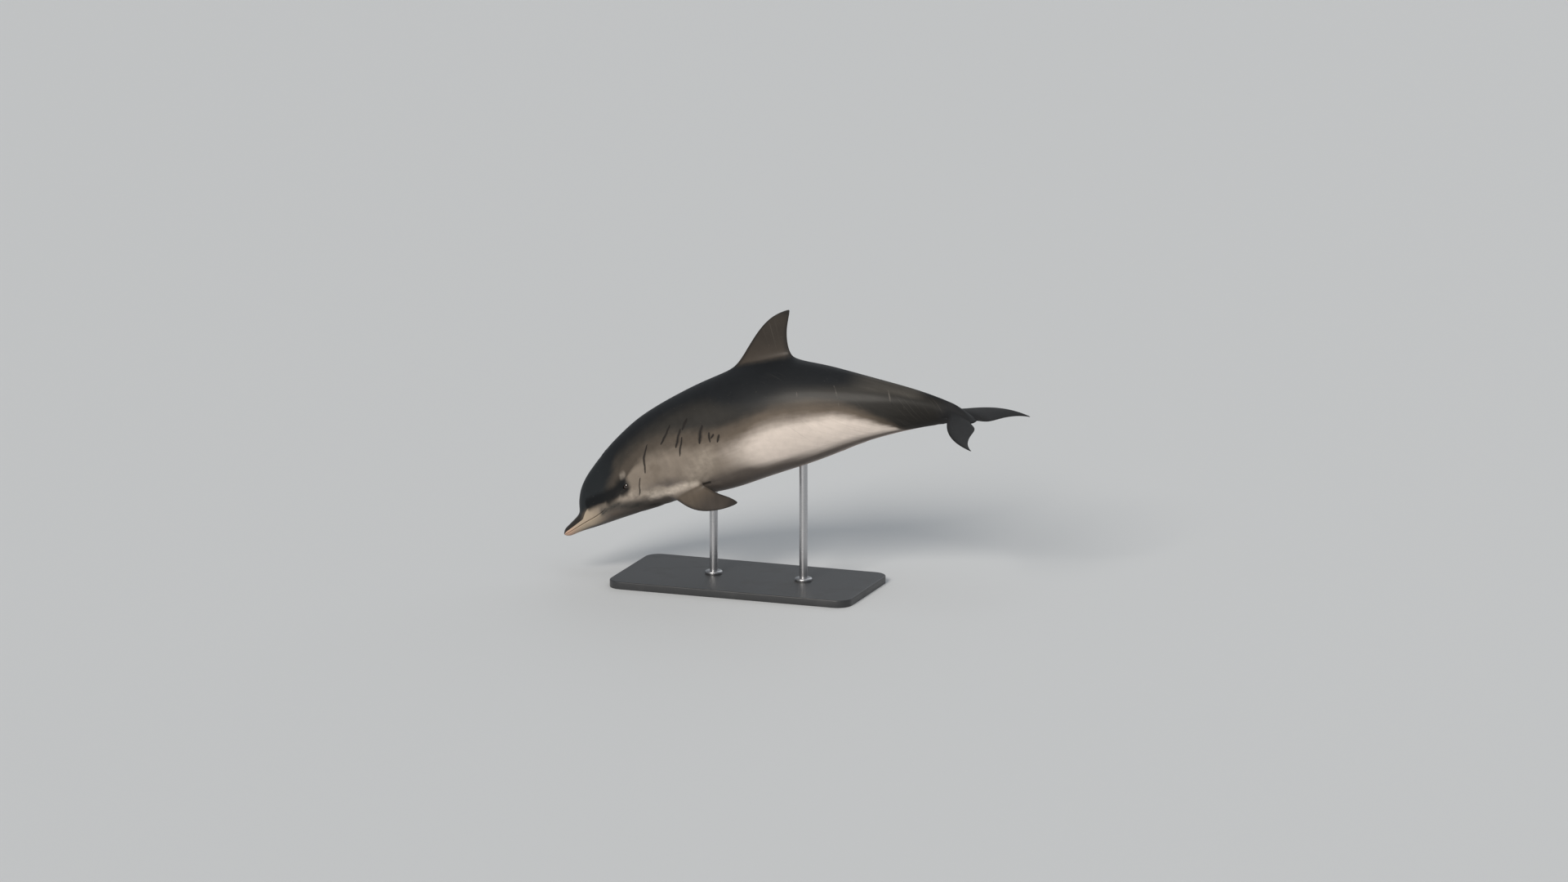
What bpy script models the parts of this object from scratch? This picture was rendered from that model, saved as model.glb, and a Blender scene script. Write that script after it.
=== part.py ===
"""A leaping bottlenose dolphin, life size, held by a plain display stand.

Run it with blender --background --python part.py. Metres, +Z up. The head points to -X, the dolphin's left
side faces -Y, and the origin is the centre of the stand's underside, on the floor.

The whole animal is one cage of points, smoothed: a body of cross-sections along a bent spine, with each fin
grown out of a block of the body's cells. Thin cuts then part it into the named parts. The eyes sit in sockets,
and the two rods of the stand go into blind holes in the belly.
"""

import math

import bmesh
import bpy
from mathutils import Matrix, Vector
from mathutils.bvhtree import BVHTree

# ---------------------------------------------------------------- the animal's size and pose

TOTAL_LENGTH = 1.90  # from the tip of the beak to the notch of the flukes, along the spine
BEAK_TIP = Vector((-0.720, -0.121, 0.170))  # where the spine starts
COLUMNS = 16  # points round a cross-section, the first on the back
HEAD_CROWDING = 0.30  # how much closer the columns of points lie at the top and bottom of the head
HEAD_END = 0.24  # the crowding fades out at this share of the length
HEAD_BLEND = 0.07
ROUNDING = 1.0196  # makes up for what the smoothing takes off the cross-sections
SPINE_STEPS = 400

# Where on the body (share of the length), how steeply the spine climbs tailward, and how far it turns
# towards +Y, in degrees.
SPINE = (
    (0.00, 41.0, 17.0),
    (0.15, 41.0, 16.0),
    (0.22, 34.5, 13.0),
    (0.29, 27.0, 9.0),
    (0.40, 23.0, 4.0),
    (0.52, 16.5, 0.0),
    (0.64, 9.0, -3.5),
    (0.75, 6.0, -6.0),
    (0.84, 4.0, -8.0),
    (0.90, -2.0, -9.0),
    (0.95, -13.5, -10.0),
    (1.00, -24.0, -10.0),
)

# Cross-sections, as shares of the length: where, half width, height over the spine, depth under it, the level
# of the widest points, and how sharply the sides run in to the back and to the belly (1 is an ellipse,
# more is a keel).
SECTIONS = (
    (0.000, 0.0080, 0.0040, 0.0065, -0.0010, 0.80, 0.80),
    (0.010, 0.0140, 0.0078, 0.0112, -0.0015, 0.85, 0.85),
    (0.027, 0.0180, 0.0088, 0.0162, -0.0035, 0.90, 0.90),
    (0.043, 0.0205, 0.0105, 0.0224, -0.0055, 0.95, 0.95),
    (0.054, 0.0230, 0.0122, 0.0270, -0.0070, 1.00, 1.00),
    (0.060, 0.0250, 0.0200, 0.0296, -0.0075, 1.00, 1.00),
    (0.068, 0.0285, 0.0325, 0.0328, -0.0090, 1.00, 1.00),
    (0.082, 0.0350, 0.0455, 0.0380, -0.0105, 1.00, 1.00),
    (0.098, 0.0420, 0.0548, 0.0436, -0.0110, 1.00, 1.00),
    (0.114, 0.0480, 0.0618, 0.0500, -0.0090, 1.00, 1.00),
    (0.126, 0.0520, 0.0656, 0.0543, -0.0065, 1.00, 1.00),
    (0.143, 0.0570, 0.0700, 0.0605, -0.0050, 1.00, 1.00),
    (0.166, 0.0625, 0.0748, 0.0705, -0.0050, 1.00, 1.00),
    (0.191, 0.0685, 0.0815, 0.0790, -0.0040, 1.00, 1.00),
    (0.217, 0.0740, 0.0890, 0.0855, -0.0020, 1.00, 1.00),
    (0.260, 0.0820, 0.0980, 0.0935, 0.0000, 1.00, 1.00),
    (0.340, 0.0920, 0.1080, 0.1090, 0.0000, 1.00, 1.00),
    (0.400, 0.0960, 0.1135, 0.1170, 0.0000, 1.00, 1.00),
    (0.480, 0.0960, 0.1180, 0.1150, 0.0000, 1.02, 1.00),
    (0.570, 0.0870, 0.1120, 0.1080, 0.0000, 1.05, 1.00),
    (0.640, 0.0730, 0.0960, 0.0940, 0.0000, 1.10, 1.05),
    (0.700, 0.0560, 0.0775, 0.0755, 0.0000, 1.15, 1.10),
    (0.790, 0.0345, 0.0535, 0.0518, 0.0000, 1.30, 1.25),
    (0.847, 0.0250, 0.0405, 0.0392, 0.0000, 1.40, 1.35),
    (0.883, 0.0195, 0.0318, 0.0307, 0.0000, 1.45, 1.40),
    (0.909, 0.0165, 0.0258, 0.0251, 0.0000, 1.50, 1.50),
    (0.930, 0.0158, 0.0200, 0.0195, 0.0000, 1.40, 1.40),
    (0.950, 0.0150, 0.0142, 0.0142, 0.0000, 1.20, 1.20),
    (0.970, 0.0130, 0.0096, 0.0096, 0.0000, 1.00, 1.00),
    (0.990, 0.0105, 0.0055, 0.0055, 0.0000, 0.90, 0.90),
    (1.000, 0.0080, 0.0026, 0.0026, 0.0000, 0.90, 0.90),
)

# Each stretch of the body starts at a share of the length and has so many rows of points. Fins grow from
# blocks of these rows.
STRETCHES = (
    ("beak", 0.000, 3),
    ("crease", 0.048, 2),
    ("melon", 0.066, 3),
    ("cheek", 0.124, 1),
    ("eye", 0.160, 2),
    ("nape", 0.195, 1),
    ("flipper", 0.243, 3),
    ("chest", 0.336, 3),
    ("dorsal", 0.455, 4),
    ("loin", 0.596, 4),
    ("stock", 0.790, 2),
    ("fluke", 0.922, 4),
    ("notch", 0.980, 1),
)
TAIL_END = 0.987  # the flukes reach a little further, to either side of the notch


class Smooth:
    """A smooth curve through rows of (x, values), which never overshoots them."""

    def __init__(self, rows):
        self.x = [row[0] for row in rows]
        self.y = [row[1:] for row in rows]
        width = range(len(self.y[0]))
        self.slope = [[self._slope(i, k) for k in width] for i in range(len(rows))]

    def _secant(self, i, k):
        return (self.y[i + 1][k] - self.y[i][k]) / (self.x[i + 1] - self.x[i])

    def _slope(self, i, k):
        if i == 0:
            return self._secant(0, k)
        if i == len(self.x) - 1:
            return self._secant(i - 1, k)
        before, after = self._secant(i - 1, k), self._secant(i, k)
        if before * after <= 0:
            return 0.0
        near, far = self.x[i] - self.x[i - 1], self.x[i + 1] - self.x[i]
        return 3 * (near + far) / ((2 * far + near) / before + (far + 2 * near) / after)

    def __call__(self, x):
        x = min(max(x, self.x[0]), self.x[-1])
        i = next(n for n in range(len(self.x) - 1) if x <= self.x[n + 1])
        step = self.x[i + 1] - self.x[i]
        t = (x - self.x[i]) / step
        start, end = 1 + t * t * (2 * t - 3), t * t * (3 - 2 * t)
        lead, trail = t * (1 - t) ** 2 * step, t * t * (t - 1) * step
        return [
            start * a + end * b + lead * m + trail * n
            for a, b, m, n in zip(self.y[i], self.y[i + 1], self.slope[i], self.slope[i + 1])
        ]


spine_angles = Smooth(SPINE)
section_at = Smooth(SECTIONS)


def directions(share):
    """The spine's tailward, rightward and dorsal directions."""
    climb, turn = (math.radians(a) for a in spine_angles(share))
    tailward = Vector((math.cos(climb) * math.cos(turn), math.cos(climb) * math.sin(turn), math.sin(climb)))
    rightward = Vector((-math.sin(turn), math.cos(turn), 0.0))
    return tailward, rightward, tailward.cross(rightward)


def spine_points():
    points = [BEAK_TIP]
    for n in range(SPINE_STEPS):
        tailward = directions((n + 0.5) / SPINE_STEPS)[0]
        points.append(points[-1] + tailward * TOTAL_LENGTH / SPINE_STEPS)
    return points


SPINE_POINTS = spine_points()


def spine(share):
    place = min(max(share, 0.0), 1.0) * SPINE_STEPS
    n = min(int(place), SPINE_STEPS - 1)
    return SPINE_POINTS[n].lerp(SPINE_POINTS[n + 1], place - n)


def frame_at(share):
    """A matrix whose X runs tailward, Y to the right and Z to the back, at the spine."""
    tailward, rightward, dorsal = directions(share)
    place = spine(share)
    rows = [[tailward[i], rightward[i], dorsal[i], place[i]] for i in range(3)]
    return Matrix(rows + [[0, 0, 0, 1]])


def body_offset(share, angle):
    """Rightward and dorsal offset of the skin from the spine, in metres. Angle 0 is the back."""
    half_width, top, bottom, level, pinch_top, pinch_bottom = section_at(share)
    up, out = math.cos(angle), math.sin(angle)
    pinch = pinch_top if up > 0 else pinch_bottom
    height = (top - level) * up if up > 0 else (bottom + level) * up
    across = math.copysign(abs(out) ** pinch, out) * half_width
    scale = TOTAL_LENGTH * ROUNDING
    return across * scale, (level + height) * scale


def body_point(share, angle):
    across, up = body_offset(share, angle)
    return frame_at(share) @ Vector((0, across, up))


# ---------------------------------------------------------------- fins

# The outline of each fin in its own plane, root first, as shares of the total length: how far out along the
# fin, the leading edge (aft, out), the trailing edge (aft, out), half thickness, and lift off the plane.
DORSAL_FIN = (
    (0.00, -0.004, -0.006, 0.134, -0.012, 0.0105, 0.0),
    (0.15, 0.0155, 0.0105, 0.1320, 0.0040, 0.0080, 0.0),
    (0.40, 0.0440, 0.0345, 0.1320, 0.0290, 0.0060, 0.0),
    (0.62, 0.0720, 0.0600, 0.1385, 0.0500, 0.0046, 0.0),
    (0.80, 0.0985, 0.0785, 0.1465, 0.0660, 0.0034, 0.0),
    (0.93, 0.1290, 0.0880, 0.1530, 0.0790, 0.0022, 0.0),
    (1.00, 0.1530, 0.0885, 0.1560, 0.0845, 0.0012, 0.0),
)
FLIPPER = (
    (0.00, 0.0000, 0.0000, 0.0775, -0.0010, 0.0120, 0.0),
    (0.15, 0.0130, 0.0170, 0.0850, 0.0075, 0.0095, 0.0),
    (0.35, 0.0295, 0.0375, 0.0945, 0.0195, 0.0072, 0.0),
    (0.55, 0.0515, 0.0550, 0.1065, 0.0325, 0.0056, 0.0),
    (0.75, 0.0820, 0.0690, 0.1210, 0.0445, 0.0042, 0.0),
    (0.90, 0.1175, 0.0770, 0.1390, 0.0580, 0.0028, 0.0),
    (1.00, 0.1480, 0.0785, 0.1525, 0.0735, 0.0014, 0.0),
)
FLUKE = (
    (0.00, -0.038, 0.018, 0.034, 0.015, 0.0085, 0.0),
    (0.15, -0.027, 0.037, 0.040, 0.032, 0.0062, 0.0),
    (0.40, -0.012, 0.067, 0.044, 0.053, 0.0045, 0.0),
    (0.62, 0.008, 0.093, 0.049, 0.074, 0.0034, 0.0),
    (0.80, 0.030, 0.110, 0.0575, 0.094, 0.0024, 0.0),
    (0.93, 0.059, 0.119, 0.0710, 0.111, 0.0016, 0.0),
    (1.00, 0.080, 0.1185, 0.0815, 0.117, 0.0009, 0.0),
)
FIN_RINGS = (0.08, 0.32, 0.60, 0.84, 1.00)


def aerofoil(chord):
    """Half thickness of a fin's section, 1 at the thickest, from the leading edge at 0 to the trailing at 1."""
    return 2.0 * (0.95 * math.sqrt(chord) * (1 - chord) + 0.35 * chord * (1 - chord)) + 0.06 * chord


def fin_rings(outline, plane, count, heights=FIN_RINGS, grow=0.0):
    """Rings of count points round a fin. In plane, X runs aft, Z out, and Y is the first side's normal."""
    edge = Smooth(outline)
    rings = []
    for height in heights:
        lead_x, lead_z, trail_x, trail_z, thickness, lift = edge(height)
        ring = []
        for k in range(count):
            turn = 2 * math.pi * k / count
            chord = (1 - math.cos(turn)) / 2
            side = math.copysign(aerofoil(chord), math.sin(turn)) if k % (count // 2) else 0.0
            point = Vector((
                lead_x + chord * (trail_x - lead_x),
                lift + side * thickness,
                lead_z + chord * (trail_z - lead_z),
            ))
            point *= TOTAL_LENGTH
            if grow:
                point += Vector((-math.cos(turn), math.sin(turn), 0.0)) * grow
            ring.append(plane @ point)
        rings.append(ring)
    return rings


def plane_at(place, aft, out):
    """A matrix with X aft, Z out and Y the normal on the fin's first side, from rough directions."""
    out = out.normalized()
    aft = (aft - aft.project(out)).normalized()
    normal = out.cross(aft)
    rows = [[aft[i], normal[i], out[i], place[i]] for i in range(3)]
    return Matrix(rows + [[0, 0, 0, 1]])


# Where each fin's plane starts, how its span and its chord point in the body's tailward, outward and dorsal
# directions.
DORSAL_AT = 0.505
DORSAL_START = (-0.040, 0.0, 0.1195)
FLIPPER_AT = 0.280
FLIPPER_ROOT = (0.251, math.radians(146))  # where the leading edge leaves the skin
FLIPPER_COLUMN = 6
FLIPPER_SPAN = (-0.118, 0.611, -0.781)
FLIPPER_CHORD = (0.974, 0.226, 0.031)
FLUKE_AT = 0.962
FLUKE_ROLL = math.radians(6.5)  # the left fluke hangs a little lower than the right


def dorsal_plane():
    frame = frame_at(DORSAL_AT)
    place = frame @ (Vector(DORSAL_START) * TOTAL_LENGTH)
    tailward, _, dorsal = directions(DORSAL_AT)
    return plane_at(place, tailward, dorsal)


def flipper_plane(side):
    """Side is 1 on the right and -1 on the left."""
    tailward, rightward, dorsal = directions(FLIPPER_AT)
    outward = rightward * side
    span, chord = (
        tailward * a + outward * b + dorsal * c for a, b, c in (FLIPPER_SPAN, FLIPPER_CHORD)
    )
    share, angle = FLIPPER_ROOT
    return plane_at(body_point(share, side * angle), chord, span)


def fluke_plane(side):
    tailward, rightward, dorsal = directions(FLUKE_AT)
    span = rightward * math.cos(FLUKE_ROLL) + dorsal * math.sin(FLUKE_ROLL)
    return plane_at(spine(FLUKE_AT), tailward, span * side)


# ---------------------------------------------------------------- the cage

def body_rows():
    """The shares of the length at which the body has a row of points, and the first row of each stretch."""
    shares, first = [], {}
    for n, (name, start, count) in enumerate(STRETCHES):
        end = STRETCHES[n + 1][1] if n + 1 < len(STRETCHES) else TAIL_END
        first[name] = len(shares)
        shares += [start + (end - start) * i / count for i in range(count)]
    return shares + [TAIL_END], first


def column_angle(share, column):
    """The head's columns crowd towards its top and the throat, where its profile bends most."""
    crowd = HEAD_CROWDING * min(1.0, max(0.0, (HEAD_END - share) / HEAD_BLEND))
    angle = 2 * math.pi * column / COLUMNS
    return angle - crowd * math.sin(2 * angle) / 2


class Cage:
    """Points and faces of the whole animal. A grid of cells, less the blocks that fins grow out of."""

    def __init__(self):
        self.points, self.faces = [], []
        self.shares, self.first = body_rows()
        for share in self.shares:
            for column in range(COLUMNS):
                self.points.append(body_point(share, column_angle(share, column)))
        self.cells = {(row, column) for row in range(len(self.shares) - 1) for column in range(COLUMNS)}

    def corner(self, row, column):
        return row * COLUMNS + column % COLUMNS

    def block_edge(self, rows, middle, reach):
        """The points round a block of cells, from the middle of its first row, down the lower columns first."""
        start, end = rows
        low, high = middle - reach, middle + reach
        loop = [(start, c) for c in range(middle, low, -1)]
        loop += [(r, low) for r in range(start, end)]
        loop += [(end, c) for c in range(low, high)]
        loop += [(r, high) for r in range(end, start, -1)]
        loop += [(start, c) for c in range(high, middle, -1)]
        return [self.corner(r, c) for r, c in loop]

    def graft(self, rows, middle, reach, make_rings):
        """Replaces a block of cells by a fin: make_rings(count) gives its rings, root first."""
        for row in range(*rows):
            for column in range(middle - reach, middle + reach):
                self.cells.discard((row, column % COLUMNS))
        before = self.block_edge(rows, middle, reach)
        count = len(before)
        rings = make_rings(count)
        turned = [[ring[-k] for k in range(count)] for ring in rings]
        edge = [self.points[i] for i in before]
        rings = min(rings, turned, key=lambda r: sum((a - b).length for a, b in zip(edge, r[0])))
        for ring in rings:
            ids = list(range(len(self.points), len(self.points) + count))
            self.points += ring
            self.join(before, ids)
            before = ids
        self.close(before)

    def join(self, ring, following):
        for k in range(len(ring)):
            after = (k + 1) % len(ring)
            self.faces.append((ring[k], ring[after], following[after], following[k]))

    def close(self, ring):
        """Closes a ring with strips across it, from one side to the other."""
        half = len(ring) // 2
        self.faces.append((ring[0], ring[1], ring[-1]))
        self.faces += [(ring[k], ring[k + 1], ring[-k - 1], ring[-k]) for k in range(1, half - 1)]
        self.faces.append((ring[half - 1], ring[half], ring[half + 1]))

    def finish(self):
        for row, column in sorted(self.cells):
            corners = ((row, column), (row, column + 1), (row + 1, column + 1), (row + 1, column))
            self.faces.append(tuple(self.corner(*c) for c in corners))
        self.close([self.corner(0, c) for c in range(COLUMNS)])
        self.close([self.corner(len(self.shares) - 1, c) for c in range(COLUMNS)])


def stretch_rows(cage, name):
    count = next(rows for stretch, _, rows in STRETCHES if stretch == name)
    return cage.first[name], cage.first[name] + count


def dolphin_cage():
    cage = Cage()
    side = COLUMNS // 4
    # On the right side of the body the columns run from back to belly, and on the left from belly to back.
    cage.graft(stretch_rows(cage, "dorsal"), 0, 1, lambda n: fin_rings(DORSAL_FIN, dorsal_plane(), n))
    for way in (1, -1):
        fluke = fluke_plane(way)
        cage.graft(stretch_rows(cage, "fluke"), way * side, 1, lambda n: fin_rings(FLUKE, fluke, n))
        flipper = flipper_plane(way)
        cage.graft(
            stretch_rows(cage, "flipper"), way * FLIPPER_COLUMN, 1, lambda n: fin_rings(FLIPPER, flipper, n)
        )
    cage.finish()
    return cage


# ---------------------------------------------------------------- objects

def mesh_object(name, points, faces, collection=None):
    mesh = bpy.data.meshes.new(name)
    mesh.from_pydata([tuple(p) for p in points], [], faces)
    work = bmesh.new()
    work.from_mesh(mesh)
    bmesh.ops.delete(work, geom=[v for v in work.verts if not v.link_faces], context="VERTS")
    bmesh.ops.recalc_face_normals(work, faces=work.faces)
    work.to_mesh(mesh)
    work.free()
    obj = bpy.data.objects.new(name, mesh)
    (collection or bpy.context.scene.collection).objects.link(obj)
    return obj


def primitive(name, collection, matrix, make, **sizes):
    """An object made by one of bmesh's solids, placed by a matrix."""
    work = bmesh.new()
    make(work, **sizes)
    mesh = bpy.data.meshes.new(name)
    work.to_mesh(mesh)
    work.free()
    mesh.transform(matrix)
    obj = bpy.data.objects.new(name, mesh)
    collection.objects.link(obj)
    return obj


def cylinder(name, collection, place, radius, low, high, segments=20):
    matrix = Matrix.Translation((place[0], place[1], (low + high) / 2))
    return primitive(
        name, collection, matrix, bmesh.ops.create_cone, cap_ends=True, segments=segments,
        radius1=radius, radius2=radius, depth=high - low,
    )


def ball(name, collection, centre, radius):
    return primitive(
        name, collection, Matrix.Translation(centre), bmesh.ops.create_uvsphere,
        u_segments=14, v_segments=7, radius=radius,
    )


def bevel(obj, width, segments, angle=30):
    rounding = obj.modifiers.new("rounding", "BEVEL")
    rounding.width = width
    rounding.segments = segments
    rounding.limit_method = "ANGLE"
    rounding.angle_limit = math.radians(angle)


def settle(obj):
    """Turns an object's modifiers into plain geometry."""
    bpy.context.view_layer.update()
    shape = obj.evaluated_get(bpy.context.evaluated_depsgraph_get())
    mesh = bpy.data.meshes.new_from_object(shape)
    obj.modifiers.clear()
    obj.data = mesh


def subtract(obj, cutters):
    for cutter in cutters:
        cut = obj.modifiers.new(cutter.name, "BOOLEAN")
        cut.operation = "DIFFERENCE"
        cut.solver = "EXACT"
        cut.object = cutter
    settle(obj)


def loose_pieces(obj):
    bpy.ops.object.select_all(action="DESELECT")
    obj.select_set(True)
    bpy.context.view_layer.objects.active = obj
    bpy.ops.object.mode_set(mode="EDIT")
    bpy.ops.mesh.select_all(action="SELECT")
    bpy.ops.mesh.separate(type="LOOSE")
    bpy.ops.object.mode_set(mode="OBJECT")
    return list(bpy.context.selected_objects)


def surface_tree(obj):
    mesh = obj.data
    return BVHTree.FromPolygons([v.co for v in mesh.vertices], [tuple(p.vertices) for p in mesh.polygons])


def part_by(pieces, cutter):
    """Cuts the pieces whose surface a cutter crosses, and gives all the pieces there are then."""
    reach, found = surface_tree(cutter), []
    for piece in pieces:
        if reach.overlap(surface_tree(piece)):
            subtract(piece, [cutter])
            found += loose_pieces(piece)
        else:
            found.append(piece)
    return found


def soften(obj, angle=35):
    """Shades an object smooth, but for its edges sharper than the angle."""
    work = bmesh.new()
    work.from_mesh(obj.data)
    for face in work.faces:
        face.smooth = True
    for edge in work.edges:
        edge.smooth = edge.calc_face_angle(0.0) < math.radians(angle)
    work.to_mesh(obj.data)
    work.free()


def paint(obj, colour, roughness, metallic=0.0):
    material = bpy.data.materials.new(obj.name)
    material.use_nodes = True
    surface = material.node_tree.nodes["Principled BSDF"]
    surface.inputs["Base Color"].default_value = (*colour, 1.0)
    surface.inputs["Roughness"].default_value = roughness
    surface.inputs["Metallic"].default_value = metallic
    obj.data.materials.clear()
    obj.data.materials.append(material)


# ---------------------------------------------------------------- the thin cuts between the parts

GAP = 0.0004  # between neighbouring parts
MOUTH_GAP = 0.0008
EYE_GAP = 0.0004

CUT_SHARES = (0.206, 0.241, 0.400, 0.645, 0.800)  # across the body, behind the head and so on
GAPE = 0.124  # where the mouth ends
CREASE = (0.070, 0.055)  # the front of the melon, where it meets the mouth and at the top
DORSAL_CUT = ((-0.035, 0.0155), (0.165, -0.0025))
FLIPPER_CUT_AT = (0.290, math.radians(138), 0.0110)
FLUKE_CUT = 0.037


def strip(name, collection, left, right, thickness):
    """A thin ribbon between two rows of points."""
    count = len(left)
    faces = [(k, k + 1, count + k + 1, count + k) for k in range(count - 1)]
    mesh = bpy.data.meshes.new(name)
    mesh.from_pydata([tuple(p) for p in left + right], [], faces)
    obj = bpy.data.objects.new(name, mesh)
    collection.objects.link(obj)
    body = obj.modifiers.new("thickness", "SOLIDIFY")
    body.thickness = thickness
    body.offset = 0.0
    body.use_even_offset = True
    settle(obj)
    return obj


def head_path(name, collection, path, thickness, reach=0.16):
    """A ribbon right across the head, through (share, height over the spine) points."""
    sides = []
    for side in (-reach, reach):
        row = []
        for share, height in path:
            point = Vector((min(share, 0.0) * TOTAL_LENGTH, side, height * TOTAL_LENGTH))
            row.append(frame_at(max(share, 0.0)) @ point)
        sides.append(row)
    return strip(name, collection, sides[0], sides[1], thickness)


def mouth_cut(collection):
    line = [-0.012] + [GAPE * n / 12 for n in range(13)]
    path = [(share, section_at(max(share, 0.0))[3] * ROUNDING) for share in line]
    path += [(0.131, -0.018), (0.139, -0.040), (0.150, -0.085)]
    return head_path("mouth_cut", collection, path, MOUTH_GAP)


def crease_cut(collection):
    low, high = CREASE
    path = [(low, section_at(low)[3] * ROUNDING), ((low + high) / 2, 0.012), (high, 0.050)]
    return head_path("crease_cut", collection, path, GAP)


def disc_cut(collection, share):
    """A thin plate across the body, a little bigger than the body's section."""
    outline = [body_offset(share, 2 * math.pi * k / 32) for k in range(32)]
    frame = frame_at(share)
    points = [frame @ Vector((x, a * 1.08, b * 1.08)) for x in (-GAP / 2, GAP / 2) for a, b in outline]
    faces = [tuple(range(32)), tuple(range(63, 31, -1))]
    faces += [(k, k + 32, (k + 1) % 32 + 32, (k + 1) % 32) for k in range(32)]
    return mesh_object(f"cut_{round(share * 1000)}", points, faces, collection)


def plane_cut(name, collection, plane, path, reach):
    """A ribbon in a fin's plane, through (aft, out) points."""
    sides = [
        [plane @ (Vector((aft, side, out)) * TOTAL_LENGTH) for aft, out in path]
        for side in (-reach, reach)
    ]
    return strip(name, collection, sides[0], sides[1], GAP)


def skin_frame(share, angle):
    """A matrix at the skin: X runs tailward, Y round the body and Z outward."""
    step = 0.002
    place = body_point(share, angle)
    along = body_point(share + step, angle) - body_point(share - step, angle)
    round_ = body_point(share, angle + step) - body_point(share, angle - step)
    outward = along.cross(round_).normalized()
    if outward.dot(place - spine(share)) < 0:
        outward = -outward
    along.normalize()
    round_ = outward.cross(along)
    rows = [[along[i], round_[i], outward[i], place[i]] for i in range(3)]
    return Matrix(rows + [[0, 0, 0, 1]])


def flipper_cut(name, collection, side):
    share, angle, lift = FLIPPER_CUT_AT
    plane = skin_frame(share, side * angle)
    path = ((-0.055, lift), (0.060, lift))
    return plane_cut(name, collection, plane, path, 0.046)


# ---------------------------------------------------------------- eyes

EYE_RADIUS = 0.0155
EYE_DEPTH = 0.0170  # from the cage's skin, which the smoothing lowers by 5 mm here, to the eyeball's centre
EYE_AT = (0.1775, math.radians(86))


def eye_centre(side):
    share, angle = EYE_AT
    return skin_frame(share, side * angle) @ Vector((0, 0, -EYE_DEPTH))


# ---------------------------------------------------------------- the stand

BASE_SIZE = (1.00, 0.50, 0.030)
BASE_CORNER = 0.060
ROD_RADIUS = 0.016
ROD_INTO_BASE = 0.020
ROD_INTO_BODY = 0.085
ROD_GAP = 0.0004
COLLAR_RADIUS = 0.034
COLLAR_HEIGHT = 0.014
ROD_SHARES = {"front": 0.330, "rear": 0.560}


def stand(collection, cutters):
    """The stand's parts, and the holes that the rods make in the body."""
    length, width, thickness = BASE_SIZE
    base = primitive(
        "stand_base", collection, Matrix.Diagonal((length, width, thickness, 1.0)),
        bmesh.ops.create_cube, size=1.0,
    )
    base.data.transform(Matrix.Translation((0, 0, thickness / 2)))
    corners = base.modifiers.new("corners", "BEVEL")
    corners.width = BASE_CORNER
    corners.segments = 5
    corners.limit_method = "WEIGHT"
    weights = base.data.attributes.new("bevel_weight_edge", "FLOAT", "EDGE")
    for edge in base.data.edges:
        low, high = (base.data.vertices[i].co.z for i in edge.vertices)
        weights.data[edge.index].value = 1.0 if abs(low - high) > thickness / 2 else 0.0
    settle(base)
    bevel(base, 0.004, 1, angle=60)
    settle(base)
    parts, holes, base_holes = [base], [], []
    for name, share in ROD_SHARES.items():
        belly = body_point(share, math.pi)
        low, high = thickness - ROD_INTO_BASE, belly.z + ROD_INTO_BODY
        rod = cylinder(f"stand_rod_{name}", collection, belly, ROD_RADIUS, low, high)
        bevel(rod, 0.001, 1, angle=60)
        settle(rod)
        collar = cylinder(
            f"stand_collar_{name}", collection, belly, COLLAR_RADIUS,
            thickness + GAP, thickness + GAP + COLLAR_HEIGHT,
        )
        bevel(collar, 0.003, 1, angle=60)
        settle(collar)
        bore = cylinder(f"collar_bore_{name}", cutters, belly, ROD_RADIUS + ROD_GAP, 0.02, 0.06)
        subtract(collar, [bore])
        base_holes.append(
            cylinder(f"base_hole_{name}", cutters, belly, ROD_RADIUS + ROD_GAP, low - ROD_GAP, 0.06)
        )
        holes.append(
            cylinder(f"body_hole_{name}", cutters, belly, ROD_RADIUS + ROD_GAP, 0.25, high + ROD_GAP)
        )
        parts += [rod, collar]
    subtract(base, base_holes)
    return parts, holes


# ---------------------------------------------------------------- names and colours

# Each body part's name, a point inside it as (share, rightward, up from the spine) in shares of the length,
# and its colour.
SKIN_PARTS = (
    ("upper_jaw", (0.040, 0.0, 0.002), (0.20, 0.16, 0.13)),
    ("lower_jaw", (0.080, 0.0, -0.022), (0.30, 0.24, 0.20)),
    ("head", (0.150, 0.0, 0.015), (0.16, 0.15, 0.14)),
    ("neck", (0.224, 0.0, 0.0), (0.15, 0.14, 0.13)),
    ("chest", (0.320, 0.0, 0.0), (0.17, 0.15, 0.13)),
    ("trunk", (0.520, 0.0, 0.0), (0.19, 0.17, 0.15)),
    ("tail", (0.710, 0.0, 0.0), (0.12, 0.11, 0.10)),
    ("tail_stock", (0.880, 0.0, 0.0), (0.08, 0.08, 0.08)),
)
STEEL = (0.55, 0.56, 0.58)
BASE_COLOUR = (0.05, 0.05, 0.055)


def inside_places():
    """A point inside each body part."""
    places = {name: frame_at(at[0]) @ (Vector((0, at[1], at[2])) * TOTAL_LENGTH) for name, at, _ in SKIN_PARTS}
    places["dorsal_fin"] = dorsal_plane() @ (Vector((0.09, 0, 0.04)) * TOTAL_LENGTH)
    for side, word in ((1, "right"), (-1, "left")):
        places[f"flipper_{word}"] = flipper_plane(side) @ (Vector((0.08, 0, 0.04)) * TOTAL_LENGTH)
        places[f"fluke_{word}"] = fluke_plane(side) @ (Vector((0.03, 0, 0.08)) * TOTAL_LENGTH)
    return places


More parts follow.
